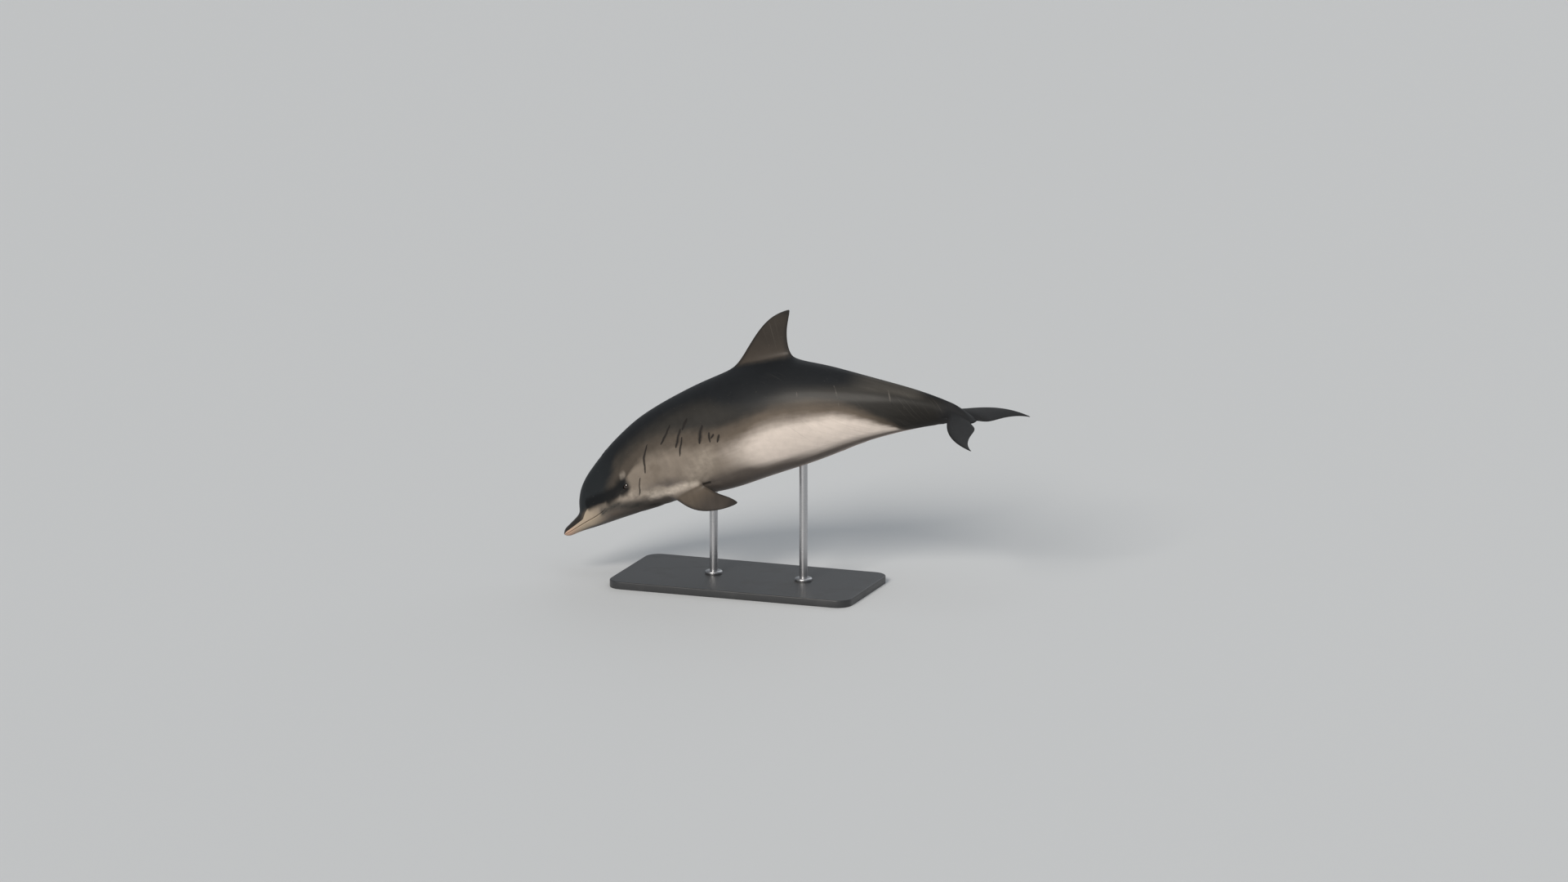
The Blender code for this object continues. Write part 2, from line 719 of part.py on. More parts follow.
def name_pieces(pieces, collection):
    """Names each piece after the place in the list that is nearest to its middle."""
    places = inside_places()
    colours = {name: colour for name, _, colour in SKIN_PARTS}
    for piece in pieces:
        middle = sum((vert.co for vert in piece.data.vertices), Vector()) / len(piece.data.vertices)
        name = min(places, key=lambda n: (places[n] - middle).length)
        del places[name]
        piece.name = piece.data.name = name
        for home in list(piece.users_collection):
            home.objects.unlink(piece)
        collection.objects.link(piece)
        soften(piece)
        paint(piece, colours.get(name, (0.10, 0.095, 0.09)), 0.35)
    if places:
        raise RuntimeError(f"no piece for {sorted(places)}")


def main():
    for obj in list(bpy.data.objects):
        bpy.data.objects.remove(obj)
    scene = bpy.context.scene
    parts = bpy.data.collections.new("dolphin_on_stand")
    cutters = bpy.data.collections.new("cutters")
    scene.collection.children.link(parts)
    scene.collection.children.link(cutters)

    cage = dolphin_cage()
    body = mesh_object("whole", cage.points, cage.faces, cutters)
    smoothing = body.modifiers.new("smooth", "SUBSURF")
    smoothing.levels = smoothing.render_levels = 1
    settle(body)

    stand_parts, rod_holes = stand(parts, cutters)
    cuts = [mouth_cut(cutters), crease_cut(cutters)]
    cuts += [disc_cut(cutters, share) for share in CUT_SHARES]
    cuts.append(plane_cut("dorsal_cut", cutters, dorsal_plane(), DORSAL_CUT, 0.030))
    for side, word in ((1, "right"), (-1, "left")):
        cuts.append(flipper_cut(f"flipper_cut_{word}", cutters, side))
        path = ((-0.080, FLUKE_CUT), (0.075, FLUKE_CUT))
        cuts.append(plane_cut(f"fluke_cut_{word}", cutters, fluke_plane(side), path, 0.030))
        centre = eye_centre(side)
        cuts.append(ball(f"eye_socket_{word}", cutters, centre, EYE_RADIUS + EYE_GAP))
        eye = ball(f"eye_{word}", parts, centre, EYE_RADIUS)
        soften(eye)
        paint(eye, (0.02, 0.015, 0.012), 0.12)
    pieces = [body]
    for cutter in cuts + rod_holes:
        pieces = part_by(pieces, cutter)
    name_pieces(pieces, parts)

    for piece in stand_parts:
        soften(piece)
        metal = "base" not in piece.name
        paint(piece, STEEL if metal else BASE_COLOUR, 0.28 if metal else 0.45, 1.0 if metal else 0.0)
    for obj in list(cutters.objects):
        obj.hide_render = True
        obj.display_type = "WIRE"


main()
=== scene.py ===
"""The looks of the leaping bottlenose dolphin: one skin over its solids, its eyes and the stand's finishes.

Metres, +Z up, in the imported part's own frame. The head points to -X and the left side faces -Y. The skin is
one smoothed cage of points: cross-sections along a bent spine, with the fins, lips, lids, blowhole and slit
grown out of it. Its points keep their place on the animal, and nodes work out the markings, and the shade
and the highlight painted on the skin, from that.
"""

from functools import partialmethod
from math import copysign, cos, exp, pi, radians, sin, sqrt

import bmesh
import bpy
import numpy as np
from mathutils import Matrix, Vector


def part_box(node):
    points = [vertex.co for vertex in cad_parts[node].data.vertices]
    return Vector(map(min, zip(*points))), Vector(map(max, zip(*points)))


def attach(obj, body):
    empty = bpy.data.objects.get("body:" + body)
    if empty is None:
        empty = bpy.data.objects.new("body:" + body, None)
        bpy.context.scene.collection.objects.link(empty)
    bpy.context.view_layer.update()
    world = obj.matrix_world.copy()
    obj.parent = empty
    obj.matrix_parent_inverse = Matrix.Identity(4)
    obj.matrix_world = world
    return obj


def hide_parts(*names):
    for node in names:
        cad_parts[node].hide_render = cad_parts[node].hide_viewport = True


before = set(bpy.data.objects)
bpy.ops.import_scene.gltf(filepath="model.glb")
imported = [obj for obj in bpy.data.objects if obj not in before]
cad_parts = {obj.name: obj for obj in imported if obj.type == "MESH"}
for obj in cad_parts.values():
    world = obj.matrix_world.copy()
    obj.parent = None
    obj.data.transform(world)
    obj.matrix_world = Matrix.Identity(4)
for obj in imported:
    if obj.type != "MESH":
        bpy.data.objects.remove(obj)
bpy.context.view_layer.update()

# ---- the animal's size and pose, as the solids'

LENGTH = 1.9  # from the tip of the beak to the notch of the flukes, along the spine
BEAK_TIP = Vector((-0.72, -0.121, 0.17))  # where the spine starts
COLUMNS = 16  # points round a cross-section, the first on the back
SIDE = COLUMNS // 4  # the column in the middle of the right side
HEAD_CROWDING = 0.3  # how much closer the columns of points lie at the top and bottom of the head
HEAD_END = 0.24  # the crowding fades out at this share of the length
HEAD_BLEND = 0.07  # and starts to fade this much before it
ROUNDING = 1.0196  # makes up for what the smoothing takes off the cross-sections
SPINE_STEPS = 400
NEARBY = 0.002  # how far off on either side a slope of the skin is read

# Shares of the length, with the spine's climb tailward and its turn towards +Y there, in degrees.
SPINE = (
    (0.0, 41.0, 17.0),
    (0.15, 41.0, 16.0),
    (0.22, 34.5, 13.0),
    (0.29, 27.0, 9.0),
    (0.4, 23.0, 4.0),
    (0.52, 16.5, 0.0),
    (0.64, 9.0, -3.5),
    (0.75, 6.0, -6.0),
    (0.84, 4.0, -8.0),
    (0.9, -2.0, -9.0),
    (0.95, -13.5, -10.0),
    (1.0, -24.0, -10.0),
)

# Cross-sections, as shares of the length: where, half width, height over the spine, depth under it, the level
# of the widest points, and how sharply the sides run in to the back and to the belly (1 is an ellipse,
# more is a keel).
SECTIONS = (
    (0.0, 0.003, 0.0008, 0.0026, -0.0012, 0.9, 0.9),
    (0.003, 0.0082, 0.0036, 0.0064, -0.0012, 0.88, 0.88),
    (0.006, 0.0112, 0.0056, 0.0088, -0.0013, 0.86, 0.86),
    (0.01, 0.0138, 0.0074, 0.0112, -0.0015, 0.85, 0.85),
    (0.027, 0.018, 0.0088, 0.0162, -0.0035, 0.9, 0.9),
    (0.043, 0.0205, 0.0105, 0.0224, -0.0055, 0.95, 0.95),
    (0.054, 0.023, 0.0122, 0.027, -0.007, 1.0, 1.0),
    (0.06, 0.025, 0.02, 0.0296, -0.0075, 1.0, 1.0),
    (0.068, 0.0285, 0.0325, 0.0328, -0.009, 1.0, 1.0),
    (0.082, 0.035, 0.0455, 0.038, -0.0105, 1.0, 1.0),
    (0.098, 0.042, 0.0548, 0.0436, -0.011, 1.0, 1.0),
    (0.114, 0.048, 0.0618, 0.05, -0.009, 1.0, 1.0),
    (0.126, 0.052, 0.0656, 0.0543, -0.0065, 1.0, 1.0),
    (0.143, 0.057, 0.07, 0.0605, -0.005, 1.0, 1.0),
    (0.166, 0.0625, 0.0748, 0.0705, -0.005, 1.0, 1.0),
    (0.191, 0.0685, 0.0815, 0.079, -0.004, 1.0, 1.0),
    (0.217, 0.074, 0.089, 0.0855, -0.002, 1.0, 1.0),
    (0.26, 0.082, 0.098, 0.0935, 0.0, 1.0, 1.0),
    (0.34, 0.092, 0.108, 0.109, 0.0, 1.0, 1.0),
    (0.4, 0.096, 0.1135, 0.117, 0.0, 1.0, 1.0),
    (0.48, 0.096, 0.118, 0.115, 0.0, 1.02, 1.0),
    (0.57, 0.087, 0.112, 0.108, 0.0, 1.05, 1.0),
    (0.64, 0.073, 0.096, 0.094, 0.0, 1.1, 1.05),
    (0.7, 0.056, 0.0775, 0.0755, 0.0, 1.15, 1.1),
    (0.79, 0.0345, 0.0535, 0.0518, 0.0, 1.3, 1.25),
    (0.847, 0.025, 0.0405, 0.0392, 0.0, 1.4, 1.35),
    (0.883, 0.0195, 0.0318, 0.0307, 0.0, 1.45, 1.4),
    (0.909, 0.0165, 0.0258, 0.0251, 0.0, 1.5, 1.5),
    (0.93, 0.0158, 0.02, 0.0195, 0.0, 1.4, 1.4),
    (0.95, 0.0152, 0.0136, 0.0136, 0.0, 1.2, 1.2),
    (0.97, 0.0154, 0.0068, 0.0068, 0.0, 1.0, 1.0),
    (0.98, 0.0158, 0.0018, 0.0018, 0.0, 0.9, 0.9),
    (1.0, 0.0158, 0.0012, 0.0012, 0.0, 0.9, 0.9),
)

# Where each stretch of the body starts, and its rows of points. The fins, eyes, blowhole and slit grow from
# blocks of these rows. The mouth ends where the cheek starts.
STRETCHES = {
    "tip": (0.0, 3), "beak": (0.012, 3), "crease": (0.048, 2), "melon": (0.066, 3), "cheek": (0.124, 1),
    "eye": (0.16, 2), "nape": (0.195, 1), "flipper": (0.243, 3), "chest": (0.336, 3),
    "dorsal": (0.455, 4), "loin": (0.596, 1), "slit": (0.6445, 2), "vent": (0.7415, 1),
    "stock": (0.79, 2), "fluke": (0.922, 4), "notch": (0.975, 1),
}
TAIL_END = 0.9785  # the flukes reach a little further, to either side of the notch


def smooth_slopes(x, y):
    """How steeply a smooth curve through points climbs at each of them, so that it never overshoots."""
    steps = [b - a for a, b in zip(x, x[1:])]
    climbs = [(b - a) / step for a, b, step in zip(y, y[1:], steps)]
    inside = [0.0] * (len(x) - 2)
    for n, (near, far, before, after) in enumerate(zip(steps, steps[1:], climbs, climbs[1:])):
        if before * after > 0:
            inside[n] = 3 * (near + far) / ((2 * far + near) / before + (far + 2 * near) / after)
    return [climbs[0], *inside, climbs[-1]]


class Smooth:
    """A smooth curve through rows of (x, values)."""

    def __init__(self, rows):
        self.x, *columns = zip(*rows)
        self.curves = [(y, smooth_slopes(self.x, y)) for y in columns]

    def __call__(self, x):
        x = min(max(x, self.x[0]), self.x[-1])
        i = next(n for n in range(len(self.x) - 1) if x <= self.x[n + 1])
        step = self.x[i + 1] - self.x[i]
        t = (x - self.x[i]) / step
        start, end = 1 + t * t * (2 * t - 3), t * t * (3 - 2 * t)
        lead, trail = t * (1 - t) ** 2 * step, t * t * (t - 1) * step
        return [
            start * y[i] + end * y[i + 1] + lead * slope[i] + trail * slope[i + 1] for y, slope in self.curves
        ]


spine_angles = Smooth(SPINE)
section_at = Smooth(SECTIONS)


def directions(share):
    """The spine's tailward, rightward and dorsal directions."""
    climb, turn = (radians(a) for a in spine_angles(share))
    tailward = Vector((cos(climb) * cos(turn), cos(climb) * sin(turn), sin(climb)))
    rightward = Vector((-sin(turn), cos(turn), 0.0))
    return tailward, rightward, tailward.cross(rightward)


SPINE_POINTS = [BEAK_TIP]
for step in range(SPINE_STEPS):
    tailward = directions((step + 0.5) / SPINE_STEPS)[0]
    SPINE_POINTS.append(SPINE_POINTS[-1] + tailward * LENGTH / SPINE_STEPS)


def spine(share):
    place = min(max(share, 0.0), 1.0) * SPINE_STEPS
    n = min(int(place), SPINE_STEPS - 1)
    return SPINE_POINTS[n].lerp(SPINE_POINTS[n + 1], place - n)


def matrix_of(x, y, z, place):
    rows = [[x[i], y[i], z[i], place[i]] for i in range(3)]
    return Matrix(rows + [[0, 0, 0, 1]])


def frame_at(share):
    """A matrix whose X runs tailward, Y to the right and Z to the back, at the spine."""
    return matrix_of(*directions(share), spine(share))


def body_point(share, angle, rounding=ROUNDING):
    """A point of the skin. Angle 0 is the back, and the right side's angles are above 0."""
    half_width, top, bottom, level, pinch_top, pinch_bottom = section_at(share)
    up, out = cos(angle), sin(angle)
    pinch = pinch_top if up > 0 else pinch_bottom
    height = (top - level) * up if up > 0 else (bottom + level) * up
    across = copysign(abs(out) ** pinch, out) * half_width
    return frame_at(share) @ (Vector((0, across, level + height)) * LENGTH * rounding)


def slopes(share, angle, rounding=ROUNDING, reach=NEARBY):
    """How the skin runs tailward, for one whole length, and round the body, for one radian."""
    along = body_point(share + reach, angle, rounding) - body_point(share - reach, angle, rounding)
    around = body_point(share, angle + reach, rounding) - body_point(share, angle - reach, rounding)
    return along / (2 * reach), around / (2 * reach)


def skin_frame(share, angle, rounding=ROUNDING):
    """A matrix at the skin: X runs tailward, Y round the body and Z outward."""
    place = body_point(share, angle, rounding)
    along, around = slopes(share, angle, rounding)
    outward = along.cross(around).normalized()
    if outward.dot(place - spine(share)) < 0:
        outward = -outward
    along.normalize()
    return matrix_of(along, outward.cross(along), outward, place)


def turns(count):
    """The angles of so many points spread evenly round a circle."""
    return [2 * pi * k / count for k in range(count)]


# ---- fins

# Each fin in its own plane, root first: how far out it is, from 0 to 1, and then in shares of the length its
# leading edge (aft, out), trailing edge (aft, out) and half thickness.
DORSAL_FIN = (
    (0.0, -0.004, -0.006, 0.134, -0.012, 0.0105),
    (0.15, 0.0155, 0.0105, 0.132, 0.004, 0.008),
    (0.4, 0.044, 0.0345, 0.132, 0.029, 0.006),
    (0.62, 0.072, 0.06, 0.1385, 0.05, 0.0046),
    (0.8, 0.0985, 0.0785, 0.1465, 0.066, 0.0034),
    (0.93, 0.129, 0.088, 0.153, 0.079, 0.0022),
    (0.97, 0.143, 0.0888, 0.1545, 0.0828, 0.0016),
    (1.0, 0.1545, 0.0886, 0.1556, 0.0872, 0.0007),
)
FLIPPER = (
    (0.0, 0.0, 0.0, 0.0775, -0.001, 0.012),
    (0.15, 0.013, 0.017, 0.085, 0.0075, 0.0095),
    (0.35, 0.0295, 0.0375, 0.0945, 0.0195, 0.0072),
    (0.55, 0.0515, 0.055, 0.1065, 0.0325, 0.0056),
    (0.75, 0.082, 0.069, 0.121, 0.0445, 0.0042),
    (0.9, 0.1175, 0.077, 0.139, 0.058, 0.0028),
    (0.96, 0.137, 0.079, 0.148, 0.068, 0.0022),
    (1.0, 0.151, 0.0775, 0.1524, 0.0759, 0.0009),
)
FLUKE = (
    (0.0, -0.038, 0.018, 0.031, 0.009, 0.0085),
    (0.15, -0.027, 0.037, 0.039, 0.03, 0.0062),
    (0.4, -0.012, 0.067, 0.044, 0.053, 0.0045),
    (0.62, 0.008, 0.093, 0.049, 0.074, 0.0034),
    (0.8, 0.03, 0.11, 0.0575, 0.094, 0.0024),
    (0.93, 0.059, 0.119, 0.071, 0.111, 0.0016),
    (1.0, 0.08, 0.1185, 0.0815, 0.117, 0.0009),
)
FIN_RINGS = (0.08, 0.32, 0.6, 0.84, 0.96, 1.0)

# Where each fin's plane starts, and its span and its chord in tailward, outward and dorsal parts.
DORSAL_AT = 0.505
DORSAL_START = (-0.04, 0.0, 0.1195)
FLIPPER_AT = 0.28
FLIPPER_ROOT = (0.251, radians(146))  # where the leading edge leaves the skin
FLIPPER_COLUMN = 6
FLIPPER_SPAN = (-0.118, 0.611, -0.781)
FLIPPER_CHORD = (0.974, 0.226, 0.031)
FLUKE_AT = 0.962
FLUKE_ROLL = radians(6.5)  # the left fluke hangs a little lower than the right


def aerofoil(chord):
    """Half thickness of a fin's section, 1 at the thickest, from its leading edge (0) to its trailing (1)."""
    return 2.0 * (0.95 * sqrt(chord) * (1 - chord) + 0.35 * chord * (1 - chord)) + 0.06 * chord


def fin_rings(outline, plane, count):
    """Rings of count (point, height, chord, 0) round a fin. In plane, X runs aft and Z out."""
    edge = Smooth(outline)
    rings = []
    for height in FIN_RINGS:
        lead_x, lead_z, trail_x, trail_z, thickness = edge(height)
        ring = []
        for k, turn in enumerate(turns(count)):
            chord = (1 - cos(turn)) / 2
            side = copysign(aerofoil(chord), sin(turn)) if k % (count // 2) else 0.0
            aft, out = lead_x + chord * (trail_x - lead_x), lead_z + chord * (trail_z - lead_z)
            point = plane @ (Vector((aft, side * thickness, out)) * LENGTH)
            ring.append((point, height, chord, 0.0))
        rings.append(ring)
    return rings


def fin_plane(at, place, chord, span, side=1):
    """A matrix with X aft and Z out, from a chord and a span in tailward, outward and dorsal parts.

    Side is 1 on the right and -1 on the left.
    """
    tailward, rightward, dorsal = directions(at)
    aft, out = (tailward * a + rightward * (side * b) + dorsal * c for a, b, c in (chord, span))
    out = out.normalized()
    aft = (aft - aft.project(out)).normalized()
    return matrix_of(aft, out.cross(aft), out, place)


def dorsal_plane():
    place = frame_at(DORSAL_AT) @ (Vector(DORSAL_START) * LENGTH)
    return fin_plane(DORSAL_AT, place, (1, 0, 0), (0, 0, 1))


def flipper_plane(side):
    share, angle = FLIPPER_ROOT
    return fin_plane(FLIPPER_AT, body_point(share, side * angle), FLIPPER_CHORD, FLIPPER_SPAN, side)


def fluke_plane(side):
    span = (0, cos(FLUKE_ROLL), side * sin(FLUKE_ROLL))
    return fin_plane(FLUKE_AT, spine(FLUKE_AT), (1, 0, 0), span, side)


# ---- lips, lids, blowhole and slit

# Across the closed mouth, from the upper lip down: how far from the line, and how far out of the skin.
LIPS = ((-0.0062, 0.0004), (-0.0022, 0.0006), (0.0, -0.0062), (0.0022, 0.0006), (0.0062, 0.0004))
LIPS_ROUNDING = 0.985
LIPS_ROOM = 0.35  # the share of the way to the next column that the lips may take
LIPS_FADE = 2  # over so many rows the groove runs out at the gape
EYE_RADIUS = 0.0155
EYE_DEPTH = 0.017
EYE_AT = (0.1775, radians(86))

# Rings round each opening, the outermost first: half length along the body, half width across it, how far
# out of the skin at the ends and at the middle, and how far the ends bend towards the head.
# Eight points make a ring, so the smoothing draws it in by a tenth.
LIDS = (
    (0.031, 0.036, 0.0, 0.0, 0.0),
    (0.0235, 0.02, 0.0006, 0.0002, 0.0),
    (0.0195, 0.015, 0.0012, 0.0034, 0.0),
    (0.016, 0.011, 0.0012, 0.0046, 0.0),
    (0.0143, 0.0092, 0.0, 0.004, 0.0),
    (0.0138, 0.0086, -0.002, 0.0022, 0.0),
    (0.011, 0.0066, -0.008, -0.006, 0.0),
)
BLOWHOLE = (
    (0.028, 0.033, 0.0, 0.0, 0.0),
    (0.013, 0.027, 0.001, 0.0014, 0.006),
    (0.0062, 0.0245, 0.0014, 0.002, 0.009),
    (0.002, 0.0225, -0.0006, -0.0006, 0.01),
    (0.001, 0.0215, -0.008, -0.008, 0.01),
)
SLIT = (
    (0.074, 0.034, 0.002, 0.0022, 0.0),
    (0.06, 0.018, 0.0008, 0.001, 0.0),
    (0.053, 0.007, 0.0004, 0.0012, 0.0),
    (0.05, 0.0018, -0.0012, -0.0012, 0.0),
    (0.049, 0.0008, -0.008, -0.008, 0.0),
)
BLOWHOLE_AT = (0.1735, 0.0)
SLIT_AT = (0.693, pi)
LIDS_ROUNDING = 0.979  # what the smoothing leaves of the cage's sections, at the eyes, blowhole and slit
BLOWHOLE_ROUNDING = 1.0035
SLIT_ROUNDING = 1.0005


def opening_rings(rows, at, rounding, count):
    """Rings of count (point, 0, 0.5, how far in) round an opening at a share and angle of the skin."""
    share, angle = at
    outward = skin_frame(share, angle, rounding).col[2].xyz
    along, around = (slope.length for slope in slopes(share, angle))
    rings = []
    for n, (length, width, lift_ends, lift_middle, bend) in enumerate(rows):
        ring = []
        for turn in turns(count):
            reach = sin(turn) ** 2
            x = length * cos(turn) - bend * (reach - 0.5)
            y = width * sin(turn)
            lift = lift_ends + (lift_middle - lift_ends) * reach
            point = body_point(share + x / along, angle + y / around, rounding) + outward * lift
            ring.append((point, 0.0, 0.5, n / (len(rows) - 1)))
        rings.append(ring)
    return rings


# ---- the cage

def body_rows():
    """The shares of the length at which the body has a row of points, and the first row of each stretch."""
    shares, first = [], {}
    ends = [start for start, _ in STRETCHES.values()][1:] + [TAIL_END]
    for (name, (start, count)), end in zip(STRETCHES.items(), ends):
        first[name] = len(shares)
        shares += [start + (end - start) * i / count for i in range(count)]
    return shares + [TAIL_END], first


def column_angle(share, column):
    """The head's columns crowd towards its top and the throat, where its profile bends most."""
    crowd = HEAD_CROWDING * min(1.0, max(0.0, (HEAD_END - share) / HEAD_BLEND))
    angle = 2 * pi * column / COLUMNS
    return angle - crowd * sin(2 * angle) / 2


def band(low, high):
    """The faces between two rings of points."""
    return zip(low, low[1:] + low[:1], high[1:] + high[:1], high)


class Cage:
    """Points and faces of the whole animal. A grid of cells, less the blocks that other forms grow out of.

    Each point has three marks for the skin's colours: how far out it lies along a fin, how far back across
    the fin, and how far into an opening.
    """

    def __init__(self):
        self.points, self.marks, self.faces = [], [], []
        self.shares, self.first = body_rows()
        for share in self.shares:
            for column in range(COLUMNS):
                self.add(body_point(share, column_angle(share, column)))
        self.cells = {(row, column) for row in range(len(self.shares) - 1) for column in range(COLUMNS)}
        self.lips = {
            (row, column): self.add_lips(row, column)
            for column in (SIDE, 3 * SIDE)
            for row in range(self.first["cheek"])
        }

    def add(self, point, fin=0.0, chord=0.5, hollow=0.0):
        self.points.append(point)
        self.marks.append((fin, chord, hollow))
        return len(self.points) - 1

    def add_lips(self, row, column):
        """The points across the mouth's line, in the order of the columns."""
        share = self.shares[row]
        angle = column_angle(share, column)
        way = 1 if column == SIDE else -1
        around = slopes(share, angle, reach=0.01)[1]
        downward = around.normalized() * way
        place = body_point(share, angle, LIPS_ROUNDING)
        tailward, rightward, _ = directions(share)
        outward = rightward * way
        if row == 0:
            outward = (outward - tailward).normalized()
        to_next = radians(360 / COLUMNS) * around.length
        room = min(1.0, LIPS_ROOM * to_next / LIPS[-1][0])
        fade = min(1.0, (self.first["cheek"] - row) / LIPS_FADE)
        return [
            self.add(place + downward * offset * room + outward * out * fade, hollow=float(offset == 0))
            for offset, out in LIPS[::way]
        ]

    def corner(self, row, column, before=False):
        """The point at a row and column, for the cells after that column or before it."""
        column %= COLUMNS
        lips = self.lips.get((row, column))
        if lips:
            return lips[0] if before else lips[-1]
        return row * COLUMNS + column

    def ring(self, row):
        ids = []
        for column in range(COLUMNS):
            ids += self.lips.get((row, column), [row * COLUMNS + column])
        return ids

    def block_edge(self, start, end, middle):
        """The points round a block two cells wide, from the middle of its first row."""
        loop = [(start, middle), *((row, middle - 1) for row in range(start, end + 1)), (end, middle)]
        loop += [(row, middle + 1) for row in range(end, start - 1, -1)]
        return [self.corner(row, column) for row, column in loop]

    def graft(self, stretch, middle, make_rings):
        """Replaces a stretch's cells beside a column by rings, root first: make_rings(count) gives them."""
        start = self.first[stretch]
        end = start + STRETCHES[stretch][1]
        for row in range(start, end):
            for column in (middle - 1, middle):
                self.cells.discard((row, column % COLUMNS))
        before = self.block_edge(start, end, middle)
        count = len(before)
        rings = make_rings(count)
        edge = [self.points[i] for i in before]
        orders = [
            [[ring[(shift + way * k) % count] for k in range(count)] for ring in rings]
            for shift in range(count)
            for way in (1, -1)
        ]
        rings = min(orders, key=lambda o: sum((a - b[0]).length_squared for a, b in zip(edge, o[0])))
        for ring in rings:
            ids = [self.add(*point) for point in ring]
            self.faces += band(before, ids)
            before = ids
        self.close(before, rings[-1])

    def close(self, ring, points=None):
        """Closes a ring with strips across it, starting at the end with the least chord."""
        start = min(range(len(ring)), key=lambda k: points[k][2]) if points else 0
        ring = ring[start:] + ring[:start]
        half = len(ring) // 2
        self.faces.append((ring[0], ring[1], ring[-1]))
        self.faces += [(ring[k], ring[k + 1], ring[-k - 1], ring[-k]) for k in range(1, half - 1)]
        self.faces.append((ring[half - 1], ring[half], ring[half + 1]))

    def finish(self):
        for row, column in sorted(self.cells):
            self.faces.append((
                self.corner(row, column),
                self.corner(row, column + 1, before=True),
                self.corner(row + 1, column + 1, before=True),
                self.corner(row + 1, column),
            ))
        for (row, column), lips in self.lips.items():
            following = self.lips.get((row + 1, column))
            gape = [(self.corner(row + 1, column),)] * len(lips)
            ends = zip(following[1:], following) if following else gape
            self.faces += [(a, b, *end) for a, b, end in zip(lips, lips[1:], ends)]
        self.close(self.ring(0))
        self.close(self.ring(len(self.shares) - 1))


def dolphin_cage():
    cage = Cage()
    cage.graft("dorsal", 0, lambda n: fin_rings(DORSAL_FIN, dorsal_plane(), n))
    cage.graft("eye", 0, lambda n: opening_rings(BLOWHOLE, BLOWHOLE_AT, BLOWHOLE_ROUNDING, n))
    cage.graft("slit", 2 * SIDE, lambda n: opening_rings(SLIT, SLIT_AT, SLIT_ROUNDING, n))
    for way in (1, -1):
        eye = (EYE_AT[0], EYE_AT[1] * way)
        cage.graft("fluke", way * SIDE, lambda n: fin_rings(FLUKE, fluke_plane(way), n))
        cage.graft("flipper", way * FLIPPER_COLUMN, lambda n: fin_rings(FLIPPER, flipper_plane(way), n))
        cage.graft("eye", way * SIDE, lambda n: opening_rings(LIDS, eye, LIDS_ROUNDING, n))
    cage.finish()
    return cage


# ---- the skin

SMOOTHING = 3  # how many times the cage's faces are halved
FOLDS_END = 0.02  # the folds stop at this height of a fin
BESIDE = 0.02  # how much the distance beside the spine counts, where its stretches are equally near


def add_object(name, data):
    made = bpy.data.objects.new(name, data)
    bpy.context.scene.collection.objects.link(made)
    return made


def settle(obj):
    """Turns an object's modifiers into plain geometry."""
    bpy.context.view_layer.update()
    graph = bpy.context.evaluated_depsgraph_get()
    shape = obj.evaluated_get(graph)
    mesh = bpy.data.meshes.new_from_object(shape, preserve_all_data_layers=True, depsgraph=graph)
    obj.modifiers.clear()
    obj.data = mesh


def store(mesh, name, values):
    """Keeps one number for each point of a mesh, for the nodes to read."""
    layer = mesh.attributes.new(name, "FLOAT", "POINT")
    layer.data.foreach_set("value", np.asarray(values, dtype=np.float32))


def mesh_array(items, name, width=3):
    values = np.zeros(len(items) * width)
    items.foreach_get(name, values)
    return values.reshape(-1, width)


def skin_object():
    cage = dolphin_cage()
    mesh = bpy.data.meshes.new("skin")
    mesh.from_pydata([tuple(p) for p in cage.points], [], cage.faces)
    for name, values in zip(("fin", "chord", "hollow"), zip(*cage.marks)):
        store(mesh, name, values)
    work = bmesh.new()
    work.from_mesh(mesh)
    bmesh.ops.delete(work, geom=[v for v in work.verts if not v.link_faces], context="VERTS")
    bmesh.ops.recalc_face_normals(work, faces=work.faces)
    work.to_mesh(mesh)
    work.free()
    skin = add_object("skin", mesh)
    smoothing = skin.modifiers.new("smooth", "SUBSURF")
    smoothing.levels = smoothing.render_levels = SMOOTHING
    settle(skin)
    skin.data.shade_smooth()
    return skin


def mean_radius(half_width, top, bottom):
    return LENGTH * (2 * half_width + top + bottom) / 4


def body_places(points):
    """Where each point lies: share of the length, girth, metres round from the back, metres to the right.

    Girth is how far round the body a point lies, from 0 at the back to 1 at the belly.
    """
    shares = np.linspace(0, 1, SPINE_STEPS + 1)
    best = np.full(len(points), np.inf)
    places = np.zeros((len(points), 3))
    for s in shares:
        here = np.array(frame_at(s))
        local = (points - here[:3, 3]) @ here[:3, :3]
        off = np.abs(local[:, 0]) + BESIDE * np.hypot(local[:, 1], local[:, 2])
        near = off < best
        best[near] = off[near]
        places[near] = local[near] / (LENGTH, 1, 1) + (s, 0, 0)
    share, right, up = places.T
    share = np.clip(share, 0, 1)
    sections = np.array([section_at(s) for s in shares])
    half_width, top, bottom, level = (np.interp(share, shares, sections[:, k]) for k in range(4))
    over = up / (LENGTH * ROUNDING) - level
    height = np.where(over > 0, over / (top - level), over / (bottom + level))
    out = np.abs(right) / (LENGTH * ROUNDING * half_width)
    girth = np.arctan2(out, height) / np.pi
    return share, girth, girth * np.pi * mean_radius(half_width, top, bottom), right


def on_skin(share, girth):
    """A place on the skin as metres along the body and round it."""
    around = girth * pi * mean_radius(*section_at(share)[:3])
    return Vector((share * LENGTH, around, 0.0))


